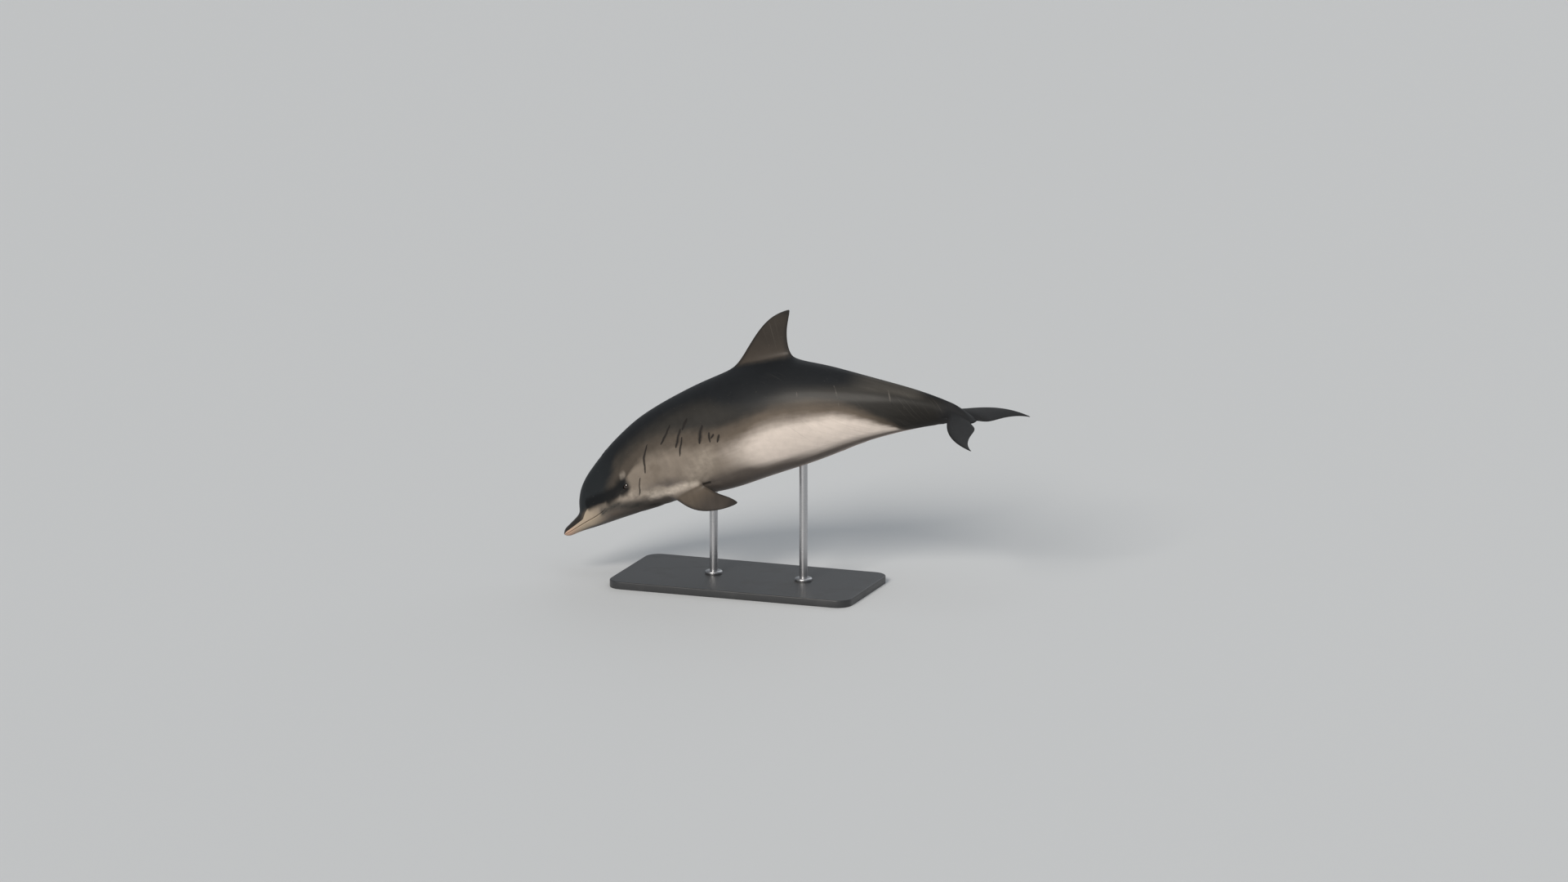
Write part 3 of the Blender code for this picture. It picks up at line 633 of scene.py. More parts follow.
def fold_depths(share, around):
    flat = np.column_stack((share * LENGTH, around))
    depths = np.zeros(len(flat))
    for half_width, depth, *path in FOLDS:
        path = [np.array(on_skin(*place))[:2] for place in path]
        nearest = np.full(len(flat), np.inf)
        for start, end in zip(path, path[1:]):
            along = end - start
            gone = np.clip((flat - start) @ along / (along @ along), 0, 1)
            nearest = np.minimum(nearest, np.linalg.norm(flat - start - gone[:, None] * along, axis=1))
        depths += depth * np.exp(-((nearest / half_width) ** 2))
    return depths


def keep_places(skin):
    """Stores each point's place on the animal, for the nodes that colour it, and presses the folds in."""
    mesh = skin.data
    points = mesh_array(mesh.vertices, "co")
    places = body_places(points)
    for name, values in zip(("share", "girth", "around", "right"), places):
        store(mesh, name, values)
    normals = mesh_array(mesh.vertices, "normal")
    on_body = mesh_array(mesh.attributes["fin"].data, "value", 1)[:, 0] < FOLDS_END
    points -= normals * (fold_depths(places[0], places[2]) * on_body)[:, None]
    mesh.vertices.foreach_set("co", points.ravel())
    mesh.update()


# ---- numbers and colours worked out by nodes

class Field:
    """A number that varies over a surface, as a node's output. Arithmetic on it adds Math nodes."""

    def __init__(self, tree, socket):
        self.tree, self.socket = tree, socket

    def math(self, operation, *others):
        return node(self.tree, "Math", dict(enumerate((self, *others))), operation=operation)

    def vector(self, operation, other, output=0):
        """Arithmetic on vectors. Output 1 is the number that a product or a distance gives."""
        return node(self.tree, "VectorMath", {0: self, 1: other}, output, operation=operation)

    __add__ = partialmethod(math, "ADD")
    __sub__ = partialmethod(math, "SUBTRACT")
    __mul__ = partialmethod(math, "MULTIPLY")
    most = partialmethod(math, "MAXIMUM")
    least = partialmethod(math, "MINIMUM")
    size = partialmethod(math, "ABSOLUTE")

    def flipped(self):
        """One less the number."""
        return self * -1.0 + 1.0

    def step(self, low, high):
        """Rises smoothly from 0 at low to 1 at high."""
        ends = {"Value": self, "From Min": low, "From Max": high}
        return node(self.tree, "MapRange", ends, "Result", interpolation_type="SMOOTHSTEP")

    def curve(self, points):
        """The height at this number of a smooth line through (x, y) points, both from 0 to 1."""
        made = self.tree.nodes.new("ShaderNodeFloatCurve")
        line = made.mapping.curves[0]
        for end, place in zip(line.points, (points[0], points[-1])):
            end.location = place
        for x, y in points[1:-1]:
            line.points.new(x, y)
        made.mapping.update()
        feed(made.inputs["Value"], self)
        return Field(self.tree, made.outputs["Value"])


def feed(socket, value):
    if isinstance(value, Field):
        value.tree.links.new(value.socket, socket)
    else:
        socket.default_value = value


def node(tree, kind, inputs, output=0, **settings):
    """What a new node gives, as a Field. Its inputs and its output go by name or by place."""
    made = tree.nodes.new("ShaderNode" + kind)
    for name, value in settings.items():
        setattr(made, name, value)
    for key, value in inputs.items():
        feed(made.inputs[key], value)
    return Field(tree, made.outputs[output])


def attribute(tree, name):
    return node(tree, "Attribute", {}, "Fac", attribute_name=name)


def object_space(tree):
    return node(tree, "TexCoord", {}, "Object")


def combined(x, y, z):
    return node(x.tree, "CombineXYZ", {0: x, 1: y, 2: z})


def noise(where, scale, detail=2.0):
    """Soft random blotches, about 0 to 1, over the space that where gives."""
    return node(where.tree, "TexNoise", {"Vector": where, "Scale": scale, "Detail": detail})


def scaled(colour, amount):
    """A colour made lighter or darker, or a vector made longer or shorter."""
    return node(amount.tree, "VectorMath", {0: colour, "Scale": amount}, operation="SCALE")


def layered(colour, *layers):
    """A colour with others laid over it in turn, each (colour, how much of it from 0 to 1).

    A colour is a Field or (red, green, blue).
    """
    for other, share in layers:
        under, over = (c if isinstance(c, Field) else (*c, 1.0) for c in (colour, other))
        colour = node(share.tree, "Mix", {0: share, 6: under, 7: over}, 2, data_type="RGBA")
    return colour


def material(name, constants):
    """A new material, its node tree and its surface, with the numbers that are the same all over it."""
    made = bpy.data.materials.new(name)
    made.use_nodes = True
    surface = made.node_tree.nodes["Principled BSDF"]
    for key, value in constants.items():
        surface.inputs[key].default_value = value
    return made, made.node_tree, surface


def dress(surface, colour, roughness, relief, depth):
    """Gives a surface its colour, its roughness, and its relief with its depth in metres."""
    feed(surface.inputs["Base Color"], colour)
    feed(surface.inputs["Roughness"], roughness)
    bump = node(relief.tree, "Bump", {"Strength": 1.0, "Distance": depth, "Height": relief}, "Normal")
    feed(surface.inputs["Normal"], bump)


# ---- the skin's markings, and the shade and highlight painted on it

CAPE = (0.0095, 0.0105, 0.012)
MELON_TOP = (0.014, 0.0165, 0.0185)
FLANK_TOP = (0.026, 0.024, 0.0215)
FLANK_LOW = (0.112, 0.089, 0.069)
SHOULDER = (0.215, 0.18, 0.147)
FLANK_PATCH = (0.35, 0.302, 0.25)
PALE = (0.66, 0.58, 0.52)
# painted shade: a darker band low on the belly, where the body turns away from the light
BELLY_SHADE = (0.13, 0.11, 0.096)
BELLY = (0.43, 0.35, 0.31)
# painted shade under the throat and the lower jaw
THROAT_SHADE = (0.1, 0.089, 0.079)
DARK = (0.004, 0.005, 0.006)
STREAK_AND_SHADE = (0.012, 0.01, 0.009)
# dark streaks, and the painted shadow behind the flipper's root
BEAK_TOP = (0.026, 0.023, 0.021)
LIP = (0.38, 0.31, 0.235)
TIP = (0.48, 0.32, 0.24)
STOCK = (0.014, 0.0128, 0.0112)
STOCK_TOP = (0.066, 0.06, 0.052)
# pale spots, and the painted highlight above the eye
SPOT_AND_HIGHLIGHT = (0.56, 0.49, 0.42)
CHEEK = (0.42, 0.36, 0.3)
JAW_SHADE = (0.05, 0.047, 0.043)
DORSAL_NEAR = (0.052, 0.042, 0.034)
DORSAL_FAR = (0.036, 0.03, 0.025)
FLIPPER_NEAR = (0.1, 0.08, 0.062)
FLIPPER_FAR = (0.05, 0.042, 0.036)
FLUKE_COLOUR = (0.0135, 0.0135, 0.0142)
FIN_EDGE = (0.014, 0.0135, 0.0135)
SCAR = (0.15, 0.135, 0.12)
# painted shade inside the mouth line, the lids, the blowhole and the slit
INSIDE_SHADE = (0.016, 0.01, 0.009)

# By the share of the length: how far round the body, from 0 at the back to 1 at the belly, the dark cape ends,
# the pale side starts and the painted shade along the belly starts.
CAPE_EDGE = (
    (0.0, 0.18), (0.05, 0.22), (0.07, 0.34), (0.1, 0.41), (0.125, 0.42), (0.145, 0.38), (0.17, 0.33),
    (0.205, 0.24), (0.255, 0.22), (0.31, 0.22), (0.375, 0.24), (0.42, 0.27), (0.465, 0.35), (0.53, 0.39),
    (0.565, 0.35), (0.65, 0.3), (0.7, 0.25), (0.78, 0.2), (0.86, 0.12), (1.0, 0.1),
)
PALE_EDGE = (
    (0.0, 0.33), (0.04, 0.345), (0.06, 0.36), (0.075, 0.365), (0.09, 0.375), (0.105, 0.41), (0.125, 0.46),
    (0.15, 0.475), (0.172, 0.475), (0.19, 0.43), (0.22, 0.415), (0.295, 0.435), (0.33, 0.465), (0.38, 0.52),
    (0.44, 0.562), (0.47, 0.56), (0.5, 0.54), (0.54, 0.512), (0.59, 0.507), (0.64, 0.507), (0.69, 0.52),
    (0.73, 0.57), (0.77, 0.66), (0.8, 0.77), (0.84, 0.97), (1.0, 1.0),
)
SHADE_EDGE = (
    (0.0, 0.6), (0.25, 0.6), (0.29, 0.64), (0.35, 0.71), (0.4, 0.7), (0.44, 0.7), (0.485, 0.748),
    (0.545, 0.768), (0.624, 0.79), (0.7, 0.8), (0.8, 0.84), (1.0, 1.0),
)

# Lines on the skin: half width, and then the points as (share of the length, how far round).
EYE_STRIPE = (
    (0.043, (0.175, 0.467), (0.166, 0.464)),
    (0.031, (0.169, 0.46), (0.15, 0.459), (0.13, 0.44)),
    (0.021, (0.13, 0.43), (0.11, 0.38), (0.085, 0.32)),
)
LEFT_STREAKS = (
    (0.0089, (0.2675, 0.337), (0.256, 0.372), (0.2475, 0.405), (0.24, 0.452), (0.2325, 0.497)),
    (0.0061, (0.2175, 0.498), (0.206, 0.54), (0.196, 0.59), (0.1875, 0.622)),
    (0.0095, (0.33, 0.293), (0.313, 0.345), (0.295, 0.388)),
    (0.0111, (0.37, 0.307), (0.36, 0.338), (0.3525, 0.366)),
    (0.0117, (0.35, 0.352), (0.338, 0.4), (0.325, 0.45)),
    (0.0081, (0.3475, 0.403), (0.336, 0.455), (0.325, 0.507)),
    (0.0145, (0.4, 0.386), (0.39, 0.432), (0.38, 0.485)),
    (0.0085, (0.409, 0.44), (0.404, 0.5)),
    (0.007, (0.419, 0.462), (0.409, 0.481)),
    (0.0089, (0.43, 0.474), (0.42, 0.516)),
)
RIGHT_STREAKS = (
    (0.0087, (0.264, 0.33), (0.25, 0.385), (0.24, 0.45)),
    (0.009, (0.312, 0.3), (0.3, 0.35), (0.292, 0.392)),
    (0.0112, (0.346, 0.33), (0.335, 0.385), (0.326, 0.44)),
    (0.012, (0.392, 0.388), (0.38, 0.43), (0.372, 0.476)),
    (0.0087, (0.435, 0.42), (0.425, 0.48)),
)
LEFT_SCARS = (
    (0.0043, (0.6825, 0.25), (0.689, 0.32), (0.6925, 0.382), (0.695, 0.44)),
    (0.005, (0.7925, 0.2), (0.799, 0.33), (0.8025, 0.44)),
    (0.004, (0.61, 0.323), (0.6125, 0.4)),
)
RIGHT_SCARS = (
    (0.004, (0.56, 0.28), (0.567, 0.35), (0.57, 0.42)),
    (0.0036, (0.569, 0.275), (0.577, 0.345), (0.581, 0.4)),
    (0.0043, (0.75, 0.22), (0.76, 0.38)),
)
SHOULDER_SPOTS = (
    (0.03, (0.21, 0.69), (0.23, 0.712), (0.256, 0.718), (0.285, 0.708), (0.308, 0.718)),
    (0.024, (0.304, 0.712), (0.326, 0.728)),
)
# painted highlight above the eye
BROW_HIGHLIGHT = ((0.016, (0.184, 0.388), (0.19, 0.394)),)
CHEEK_BAND = ((0.038, (0.154, 0.535), (0.178, 0.585), (0.215, 0.65), (0.245, 0.7)),)
# painted shade along the jaw line, where the head turns under
JAW_SHADE_LINES = (
    (0.026, (0.101, 0.5), (0.122, 0.54), (0.142, 0.6)),
    (0.028, (0.142, 0.62), (0.17, 0.71), (0.205, 0.85)),
)
SHOULDER_PATCH = ((0.08, (0.335, 0.66), (0.36, 0.62), (0.38, 0.59)),)
# painted shadow in the crease behind the flipper's root
ARMPIT_SHADOW = ((0.011, (0.3325, 0.749), (0.3425, 0.752), (0.355, 0.75)),)

# Folds that are pressed into the skin, or raised where the depth is below 0: half width, depth and points.
FOLDS = (
    (0.004, 0.002, (0.124, 0.5), (0.131, 0.493), (0.138, 0.48)),
    (0.006, -0.0012, (0.128, 0.515), (0.134, 0.505), (0.141, 0.49)),
    (0.005, 0.0012, (0.133, 0.52), (0.137, 0.56), (0.136, 0.6)),
    (0.007, 0.0016, (0.2675, 0.337), (0.2475, 0.405), (0.2325, 0.497), (0.225, 0.545)),
    (0.006, 0.0012, (0.2175, 0.498), (0.202, 0.56), (0.1875, 0.622)),
    (0.011, 0.0009, (0.152, 0.8), (0.156, 1.0)),
    (0.014, 0.0013, (0.205, 0.72), (0.213, 0.85), (0.215, 1.0)),
    (0.014, 0.0013, (0.23, 0.66), (0.239, 0.8), (0.241, 1.0)),
    (0.009, 0.0022, (0.242, 0.64), (0.248, 0.72), (0.248, 0.78)),
    (0.009, 0.0026, (0.338, 0.74), (0.352, 0.7), (0.364, 0.68)),
    (0.01, 0.0022, (0.342, 0.765), (0.36, 0.755), (0.378, 0.765)),
    (0.009, 0.003, (0.498, 1.0), (0.506, 1.0)),
    (0.01, 0.0014, (0.895, 0.72), (0.897, 1.0)),
    (0.01, 0.0016, (0.915, 0.7), (0.917, 1.0)),
    (0.009, 0.0012, (0.935, 0.72), (0.937, 1.0)),
)

WOBBLE = 0.008  # how many metres the edges of lines and patches stray
TAPER = 0.38  # how fast a tapering line gets wide from its ends: 1 is a lens, less is blunter
THINNEST = 0.0002  # the half width of a tapering line at its ends
SIDE_BLEND = 0.004  # how far from the middle the marks of one side are whole
SKIN_RELIEF = 0.0006  # metres from its lowest to its highest


def line_mask(place, start, end, half_width, part, core):
    """1 on the straight line between two places on the skin, and 0 from its half width on.

    Part is how much of a tapering line has gone by at both ends, and core how much of the width is 1.
    """
    start, end = on_skin(*start), on_skin(*end)
    along = end - start
    offset = place.vector("SUBTRACT", start)
    share = offset.vector("DOT_PRODUCT", along / along.length_squared, output=1).most(0.0).least(1.0)
    if part:
        gone = share * (part[1] - part[0]) + part[0]
        half_width = (gone * gone.flipped() * 4.0).math("POWER", TAPER) * half_width + THINNEST
    return offset.vector("DISTANCE", scaled(along, share), output=1).step(half_width, half_width * core)


def lines(place, table, taper=False, core=0.0):
    """The strongest of the lines in a table."""
    strongest = None
    for half_width, *path in table:
        pieces = len(path) - 1
        for n, (start, end) in enumerate(zip(path, path[1:])):
            part = (n / pieces, (n + 1) / pieces) if taper else None
            mask = line_mask(place, start, end, half_width, part, core)
            strongest = strongest.most(mask) if strongest else mask
    return strongest


class Skin:
    """What the skin's colours are worked out from: places on the animal, and noises about 0.

    Edge is the girth with a ragged edge, and place is for lines, in metres along the body and round it.
    """

    def __init__(self, tree):
        for name in ("share", "girth", "around", "right", "fin", "chord", "hollow"):
            setattr(self, name, attribute(tree, name))
        self.solid = object_space(tree)
        self.blotch = noise(self.solid, 6.0, 3.0) - 0.5
        self.fine = noise(self.solid, 38.0, 4.0) - 0.5
        self.wisps = noise(combined(self.share * 9.0, self.girth * 16.0, self.right * 3.0), 1.0, 3.0) - 0.5
        self.grain = noise(combined(self.share * 14.0, self.around * 90.0, self.right * 4.0), 1.0, 3.0) - 0.5
        self.bars = noise(combined(self.share * 70.0, self.girth * 7.0, self.right * 6.0), 1.0, 4.0) - 0.5
        self.edge = self.girth + self.wisps * 0.07 + self.fine * 0.012
        stray = self.fine * WOBBLE
        self.place = combined(self.share * LENGTH + stray, self.around + stray, 0.0)


def body_colour(at):
    """A dark cape, a brown-grey flank and a pale side that runs under the belly, with painted shade low on the
    belly and under the throat. Also how pale it is.
    """
    share, edge, wisps = at.share, at.edge, at.wisps
    below = edge - share.curve(PALE_EDGE)
    softness = share.step(0.2, 0.26) * 0.045 + 0.015
    pale = below.step(softness * -1.0, softness)
    # where the painted shade under the throat lies
    throat = (edge + share.step(0.1, 0.22) * 0.02).step(0.62, 0.76) * share.step(0.3, 0.22)
    smudge = noise(at.solid, 9.0, 4.0).step(0.5, 0.72) * share.step(0.5, 0.36)
    light = layered(
        SHOULDER,
        (PALE, (share + wisps * 0.05).step(0.38, 0.52)),
        # painted shade along the lower belly, between the pale side and the pale underside
        (BELLY_SHADE, (edge - share.curve(SHADE_EDGE)).step(-0.055, 0.055)),
        (BELLY, at.girth.step(0.88, 0.97)),
        (THROAT_SHADE, throat * 0.75),
        (FLANK_LOW, smudge * 0.42),
    )
    low = below.step(-0.165, -0.05) * (share.step(0.26, 0.44) * 0.5 + 0.5)
    cape = layered(CAPE, (MELON_TOP, share.step(0.22, 0.12)))
    stock_top = share.step(0.69, 0.76) * share.step(0.88, 0.84) * edge.step(0.31, 0.21)
    colour = layered(
        FLANK_TOP,
        (FLANK_LOW, low.most(share.step(0.22, 0.17) * 0.42)),
        (STOCK, (share + wisps * 0.06).step(0.73, 0.86)),
        (cape, (edge - share.curve(CAPE_EDGE)).step(0.06, -0.07)),
        (light, pale),
        (STOCK_TOP, stock_top * 0.7),
    )
    return colour, pale


def head_layers(at, pale):
    """Tan lips, a dark top of the beak, the stripe before the eye and the patches of cheek and shoulder, with
    painted shade under the jaw and in the armpit and a painted highlight above the eye.
    """
    share, place = at.share, at.place
    lip = layered(
        LIP,
        (TIP, share.step(0.045, 0.005)),
        # painted shade under the lower jaw
        (THROAT_SHADE, at.edge.step(0.66, 0.8) * share.step(0.02, 0.06)),
    )
    uneven = at.wisps * 1.2 + at.fine * 1.5 + 0.75
    return (
        (lip, share.step(0.11, 0.06) * pale),
        (BEAK_TOP, share.step(0.06, 0.045) * pale.flipped()),
        (FLANK_PATCH, lines(place, SHOULDER_PATCH) * uneven * 0.75),
        (CHEEK, lines(place, CHEEK_BAND) * uneven * 0.9),
        (JAW_SHADE, lines(place, JAW_SHADE_LINES) * uneven),
        (DARK, lines(place, EYE_STRIPE, core=0.3) * 0.95),
        (SPOT_AND_HIGHLIGHT, lines(place, SHOULDER_SPOTS) * uneven),
        # painted highlight above the eye
        (SPOT_AND_HIGHLIGHT, lines(place, BROW_HIGHLIGHT) * uneven * 0.42),
        # painted shadow behind the flipper's root
        (STREAK_AND_SHADE, lines(place, ARMPIT_SHADOW, core=0.2) * 0.8),
    )


def fin_layers(at):
    """The fins, darker towards their edges and tips."""
    share, fin, fine = at.share, at.fin, at.fine
    out = fin + at.blotch * 0.3
    edges = ((at.chord - 0.5).size() + fine * 0.08).step(0.36, 0.5)
    dorsal = layered(DORSAL_NEAR, (DORSAL_FAR, out.step(0.1, 0.55)))
    fins = layered(
        FLIPPER_NEAR,
        (FLIPPER_FAR, out.step(0.15, 0.75)),
        (dorsal, at.girth.step(0.35, 0.25)),
        (FLUKE_COLOUR, share.step(0.86, 0.9)),
        (FIN_EDGE, edges.most((fin + fine * 0.1).step(0.85, 1.0)) * 0.7),
    )
    return (
        (FLUKE_COLOUR, (share + fine * 0.01).step(0.885, 0.925)),
        (fins, (fin + fine * 0.02).step(0.04, 0.12)),
    )


def scratches(at):
    """Where there are faint raking scratches, in patches, and small pale specks."""
    along = at.share * LENGTH
    raked = combined(along * 5.0 + at.around * 3.0, at.around * 230.0 - along * 150.0, at.right * 2.0)
    patches = noise(at.solid, 3.4).step(0.54, 0.64) * at.share.step(0.2, 0.3)
    scratched = noise(raked, 1.0).step(0.6, 0.68) * patches
    return (scratched * 0.14).most(noise(at.solid, 120.0).step(0.7, 0.76) * 0.16)


def each_side(at, left, right):
    """Tapering lines, with each side of the animal showing its own table."""
    on_left = lines(at.place, left, taper=True) * at.right.step(0.0, -SIDE_BLEND)
    return on_left.most(lines(at.place, right, taper=True) * at.right.step(0.0, SIDE_BLEND))


def skin_material():
    made, tree, surface = material("dolphin_skin", {
        "Coat Weight": 0.06, "Coat Roughness": 0.22, "IOR": 1.35, "Specular IOR Level": 0.26,
    })
    at = Skin(tree)
    share, blotch, fine, grain = at.share, at.blotch, at.fine, at.grain
    colour, pale = body_colour(at)
    streaks = each_side(at, LEFT_STREAKS, RIGHT_STREAKS)
    streaks = streaks * (fine * 2.5 + blotch * 1.5 + 1.35).least(1.0).most(0.0)
    scars = each_side(at, LEFT_SCARS, RIGHT_SCARS)
    colour = layered(
        colour, *head_layers(at, pale), *fin_layers(at),
        (SCAR, scratches(at)),
        (STREAK_AND_SHADE, streaks),
        (SCAR, scars * (fine * 2.0 + 0.22).most(0.0)),
        # painted shade inside the openings
        (INSIDE_SHADE, at.hollow.step(0.6, 0.9)),
    )
    mottle = blotch * 0.26 + fine * 0.22 + grain * (share.step(0.55, 0.8) * 0.4 + 0.1) + 1.0
    mottle = mottle + at.bars * share.step(0.2, 0.28) * (share.step(0.5, 0.36) * 0.34 + 0.08)
    roughness = fine * 0.14 + blotch * 0.12 + share.step(0.3, 0.8) * 0.08 + 0.47
    relief = grain * 0.35 + fine * 0.5 + noise(at.solid, 420.0, 3.0) * 0.22 - streaks * 0.7 - scars * 0.4
    dress(surface, scaled(colour, mottle), roughness, relief, SKIN_RELIEF)
    return made


# ---- the eyes

CORNEA_BULGE = 0.045  # as a share of the eye's radius
CORNEA_REACH = 0.5  # radians from the middle of the eye
PUPIL = (0.36, 0.17)  # half its length and half its height, as shares of the eye's radius
IRIS = 0.8
EYE_RINGS, EYE_SPOKES = 40, 56
IRIS_COLOUR = (0.022, 0.01, 0.005)
IRIS_RIM = (0.004, 0.003, 0.002)
WHITE_OF_EYE = (0.05, 0.036, 0.03)
PUPIL_COLOUR = (0.002, 0.002, 0.002)
SHARP = radians(40)  # edges that bend more than this stay sharp


def ringed_object(name, rings, capped=True, tips=()):
    """A closed form from rings of points: it ends in tips or in caps, or its last ring meets its first."""
    work = bmesh.new()
    loops = [[work.verts.new(point) for point in ring] for ring in rings]
    faces = [face for low, high in zip(loops, loops[1:]) for face in band(low, high)]
    for tip, ring in zip([work.verts.new(tip) for tip in tips], (loops[0], loops[-1])):
        faces += [(tip, point, after) for point, after in zip(ring, ring[1:] + ring[:1])]
    if not tips:
        faces += (loops[0], loops[-1]) if capped else band(loops[-1], loops[0])
    for face in faces:
        work.faces.new(face)
    bmesh.ops.recalc_face_normals(work, faces=work.faces)
    mesh = bpy.data.meshes.new(name)
    work.to_mesh(mesh)
    work.free()
    mesh.shade_smooth()
    mesh.set_sharp_from_angle(angle=SHARP)
    return add_object(name, mesh)


def turned_rings(profile, count, centre=Vector((0, 0))):
    return [
        [(centre.x + r * cos(t), centre.y + r * sin(t), z) for t in turns(count)] for r, z in profile
    ]


def eye_object(name, side):
    """An eyeball with a raised cornea, looking out of the skin."""
    profile = []
    for ring in range(1, EYE_RINGS):
        off = pi * ring / EYE_RINGS
        radius = EYE_RADIUS * (1 + CORNEA_BULGE * exp(-((off / CORNEA_REACH) ** 2)))
        profile.append((radius * sin(off), radius * cos(off)))
    tips = (0, 0, EYE_RADIUS * (1 + CORNEA_BULGE)), (0, 0, -EYE_RADIUS)
    eye = ringed_object(name, turned_rings(profile, EYE_SPOKES), tips=tips)
    mesh = eye.data
    for mark, values in zip(("along", "across", "out"), mesh_array(mesh.vertices, "co").T / EYE_RADIUS):
        store(mesh, mark, values)
    mesh.transform(skin_frame(EYE_AT[0], EYE_AT[1] * side) @ Matrix.Translation((0, 0, -EYE_DEPTH)))
    mesh.update()
    return eye


def eye_material():
    made, tree, surface = material("dolphin_eye", {"Coat Weight": 1.0, "Coat Roughness": 0.02, "IOR": 1.38})
    along, across, out = (attribute(tree, name) for name in ("along", "across", "out"))
    off = (along * along + across * across).math("SQRT")
    turn = across.math("ARCTAN2", along)
    fibres = noise(combined(turn * 9.0, off * 1.5, 0.0), 1.0, 3.0) - 0.5
    x, y = along * (1 / PUPIL[0]), across * (1 / PUPIL[1])
    iris = scaled(layered(IRIS_COLOUR, (IRIS_RIM, off.step(0.45, 0.74))), fibres * 1.2 + 1.0)
    colour = layered(
        iris,
        (WHITE_OF_EYE, (off + fibres * 0.06).step(IRIS - 0.03, IRIS + 0.03).most(out.step(0.1, 0.0))),
        (PUPIL_COLOUR, (x * x + y * y + fibres * 0.3).step(1.15, 0.85) * out.step(0.0, 0.1)),
    )
    dress(surface, colour, fibres.size() * 0.06 + 0.06, fibres, 0.0001)
    return made


# ---- the stand

STEEL = (0.5, 0.5, 0.51)
BASE_PAINT = (0.03, 0.031, 0.033)
DUST = (0.1, 0.1, 0.1)
BRUSHING = Vector((12, 12, 1500))  # how fine the steel's brushed lines are along each axis


def steel_material():
    """Steel brushed round its length."""
    made, tree, surface = material("stand_steel_brushed", {"Metallic": 1.0, "IOR": 1.45})
    where = object_space(tree)
    brushed = noise(where.vector("MULTIPLY", BRUSHING), 1.0, 5.0) - 0.5
    smudges = noise(where, 14.0, 3.0) - 0.5
    colour = scaled(STEEL, brushed * 0.25 + smudges * 0.12 + 1.0)
    dress(surface, colour, brushed * 0.2 + smudges * 0.16 + 0.3, brushed, 0.00008)
    return made


def base_material():
    """Satin paint with the slight unevenness of a sprayed coat, and a little dust."""
    made, tree, surface = material("stand_base_paint", {
        "Coat Weight": 0.15, "Coat Roughness": 0.3, "IOR": 1.45,
    })
    where = object_space(tree)
    peel = noise(where, 260.0) - 0.5
    dust = noise(where, 7.0, 5.0).step(0.52, 0.8)
    colour = layered(scaled(BASE_PAINT, peel * 0.1 + 1.0), (DUST, dust * 0.25))
    dress(surface, colour, dust * 0.18 + peel * 0.06 + 0.42, peel, 0.0001)
    return made


BASE_LENGTH, BASE_WIDTH, BASE_HEIGHT = 1.0, 0.5, 0.03
BASE_CORNER = 0.06
CORNER_STEPS = 12
# The edge of the base, from its underside up, and a collar's section, from the middle out and round: how far
# in or out, and how high. Collars stand on the base.
BASE_EDGE = (
    (0.002, 0.0), (0.0006, 0.0005), (0.0, 0.0018), (0.0, 0.0262), (0.0004, 0.028), (0.0014, 0.0292),
    (0.003, 0.0299), (0.0048, 0.03),
)
COLLAR = (
    (0.0162, 0.0001), (0.0336, 0.0001), (0.034, 0.0006), (0.034, 0.0088), (0.0334, 0.0106), (0.0318, 0.0122),
    (0.0292, 0.0133), (0.026, 0.0138), (0.0186, 0.014), (0.0172, 0.0137), (0.0164, 0.0128),
)
ROD_RADIUS = 0.016
ROD_CHAMFER = 0.001
ROUND_STEPS = 64


def base_rings():
    rings = []
    for inset, z in BASE_EDGE:
        radius = BASE_CORNER - inset
        ring = []
        for quarter, (x_side, y_side) in enumerate(((1, 1), (-1, 1), (-1, -1), (1, -1))):
            x, y = x_side * (BASE_LENGTH / 2 - BASE_CORNER), y_side * (BASE_WIDTH / 2 - BASE_CORNER)
            for k in range(CORNER_STEPS + 1):
                turn = pi / 2 * (quarter + k / CORNER_STEPS)
                ring.append((x + radius * cos(turn), y + radius * sin(turn), z))
        rings.append(ring)
    return rings


def add_piece(piece, finish, slot, *nodes):
    piece.data.materials.append(finish)
    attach(piece, "root")
    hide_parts(*nodes)


# ---- the pieces

skin = skin_object()
keep_places(skin)
add_piece(
    skin, skin_material(), "skin_body", "upper_jaw", "lower_jaw", "head", "neck", "chest", "trunk", "tail",
    "tail_stock", "dorsal_fin", "flipper_left", "flipper_right", "fluke_left", "fluke_right",
)
looking = eye_material()
add_piece(eye_object("left_eye", -1), looking, "eye", "eye_left")
add_piece(eye_object("right_eye", 1), looking, "eye", "eye_right")

steel = steel_material()
for end in ("front", "rear"):
    low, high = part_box(f"stand_rod_{end}")
    centre = (low + high) / 2
    rod = (
        (ROD_RADIUS - ROD_CHAMFER, low.z), (ROD_RADIUS, low.z + ROD_CHAMFER),
        (ROD_RADIUS, high.z - ROD_CHAMFER), (ROD_RADIUS - ROD_CHAMFER, high.z),
    )
    rod = ringed_object(f"{end}_rod", turned_rings(rod, ROUND_STEPS, centre))
    add_piece(rod, steel, "stand_steel", f"stand_rod_{end}")
    collar = [(r, BASE_HEIGHT + z) for r, z in COLLAR]
    collar = ringed_object(f"{end}_collar", turned_rings(collar, ROUND_STEPS, centre), capped=False)
    add_piece(collar, steel, "stand_steel", f"stand_collar_{end}")
add_piece(ringed_object("base_board", base_rings()), base_material(), "stand_base", "stand_base")


# ---- the studio

# The camera's place, in degrees round from the front and up, and in metres.
CAMERA_AZIMUTH, CAMERA_ELEVATION, CAMERA_DISTANCE = 20, 13, 45.0
CAMERA_WIDTH = 6.134  # what the picture takes in from side to side, at the aim
CAMERA_AIM = Vector((0.0596, 0.2499, 0.5249))
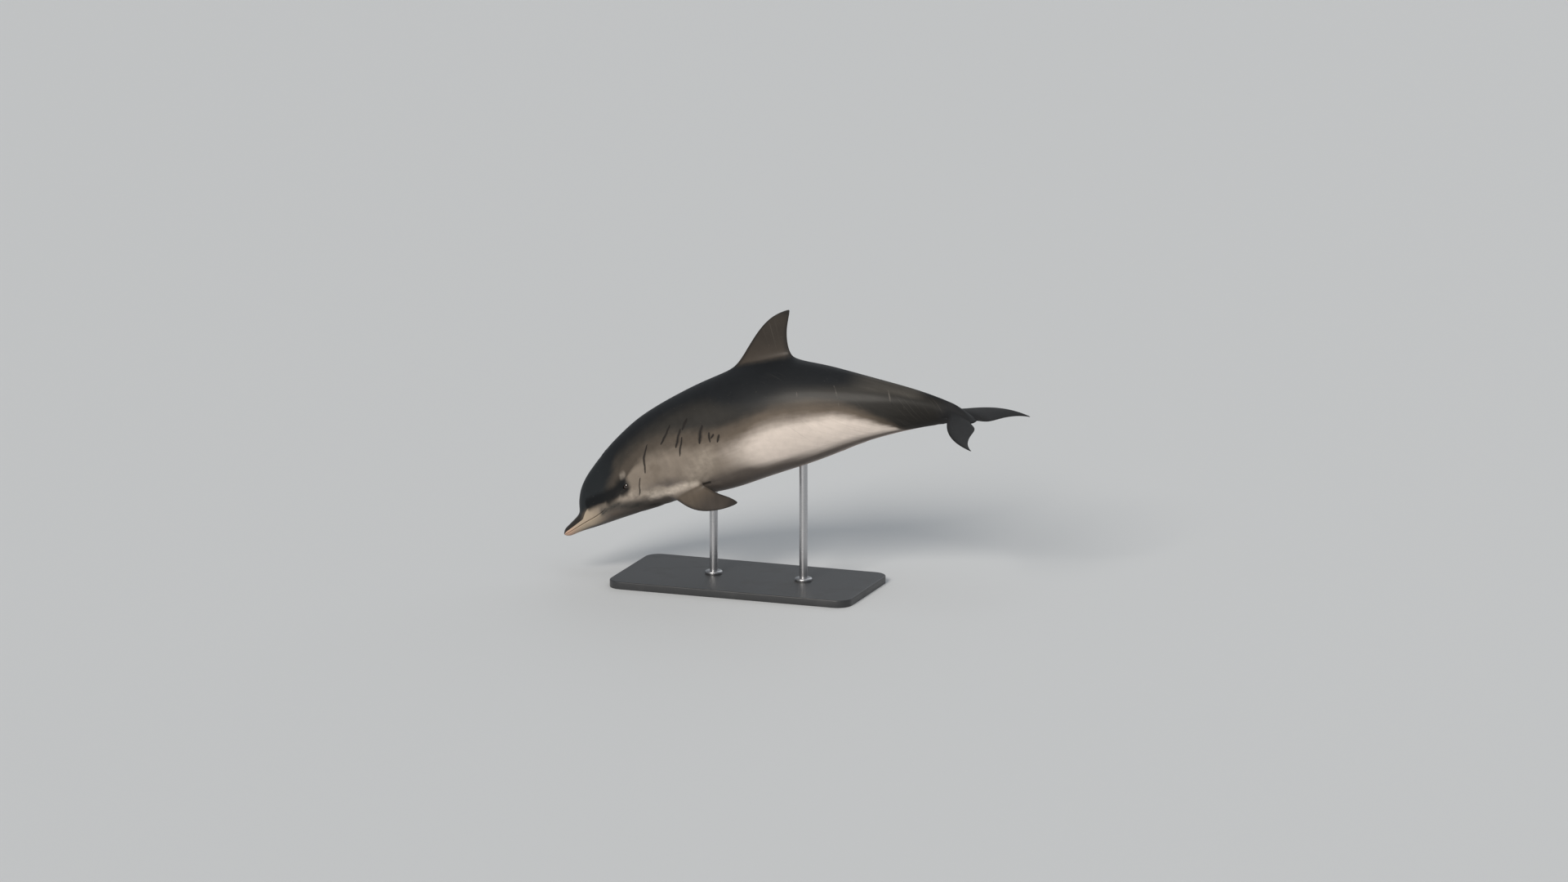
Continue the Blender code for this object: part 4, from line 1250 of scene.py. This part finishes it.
# Far lights, which fall evenly over the floor: name, degrees round from the front and up, strength, how wide
# the light looks in degrees, and colour.
LIGHTS = (
    ("key", -5, 32, 2.6, 22, (1.0, 0.95, 0.88)),
    ("top", 60, 72, 0.4, 50, (0.95, 0.98, 1.0)),
    ("back", 165, 35, 0.45, 60, (0.96, 0.98, 1.0)),
)
FLOOR_REACH = 90.0
FLOOR_COLOUR = (0.6, 0.61, 0.62, 1)
SKY_COLOUR = (0.8, 0.85, 0.9, 1)
SKY_STRENGTH = 0.34


def placed(name, data, azimuth, elevation):
    """A camera or a light that looks back from this direction, and the direction."""
    a, e = radians(azimuth), radians(elevation)
    back = Vector((sin(a) * cos(e), -cos(a) * cos(e), sin(e)))
    made = add_object(name, data)
    made.rotation_mode = "QUATERNION"
    made.rotation_quaternion = (-back).to_track_quat("-Z", "Y")
    return made, back


def add_camera():
    data = bpy.data.cameras.new("camera")
    data.sensor_width = 36.0
    data.lens = data.sensor_width * CAMERA_DISTANCE / CAMERA_WIDTH
    data.clip_end = 400.0
    camera, back = placed("camera", data, CAMERA_AZIMUTH, CAMERA_ELEVATION)
    camera.location = CAMERA_AIM + back * CAMERA_DISTANCE
    bpy.context.scene.camera = camera


def add_lights():
    for name, azimuth, elevation, strength, softness, colour in LIGHTS:
        data = bpy.data.lights.new(name, "SUN")
        data.energy = strength
        data.angle = radians(softness)
        data.color = colour
        placed(name, data, azimuth, elevation)
    world = bpy.data.worlds.new("studio")
    bpy.context.scene.world = world
    world.use_nodes = True
    background = world.node_tree.nodes["Background"]
    background.inputs["Color"].default_value = SKY_COLOUR
    background.inputs["Strength"].default_value = SKY_STRENGTH


def add_floor():
    mesh = bpy.data.meshes.new("floor")
    corners = [(x * FLOOR_REACH, y * FLOOR_REACH, 0) for x, y in ((-1, -1), (1, -1), (1, 1), (-1, 1))]
    mesh.from_pydata(corners, [], [(0, 1, 2, 3)])
    mesh.materials.append(material("floor", {"Base Color": FLOOR_COLOUR, "Roughness": 0.6})[0])
    floor = add_object("floor", mesh)


add_camera()
add_lights()
add_floor()
bpy.context.scene.view_settings.view_transform = "Standard"
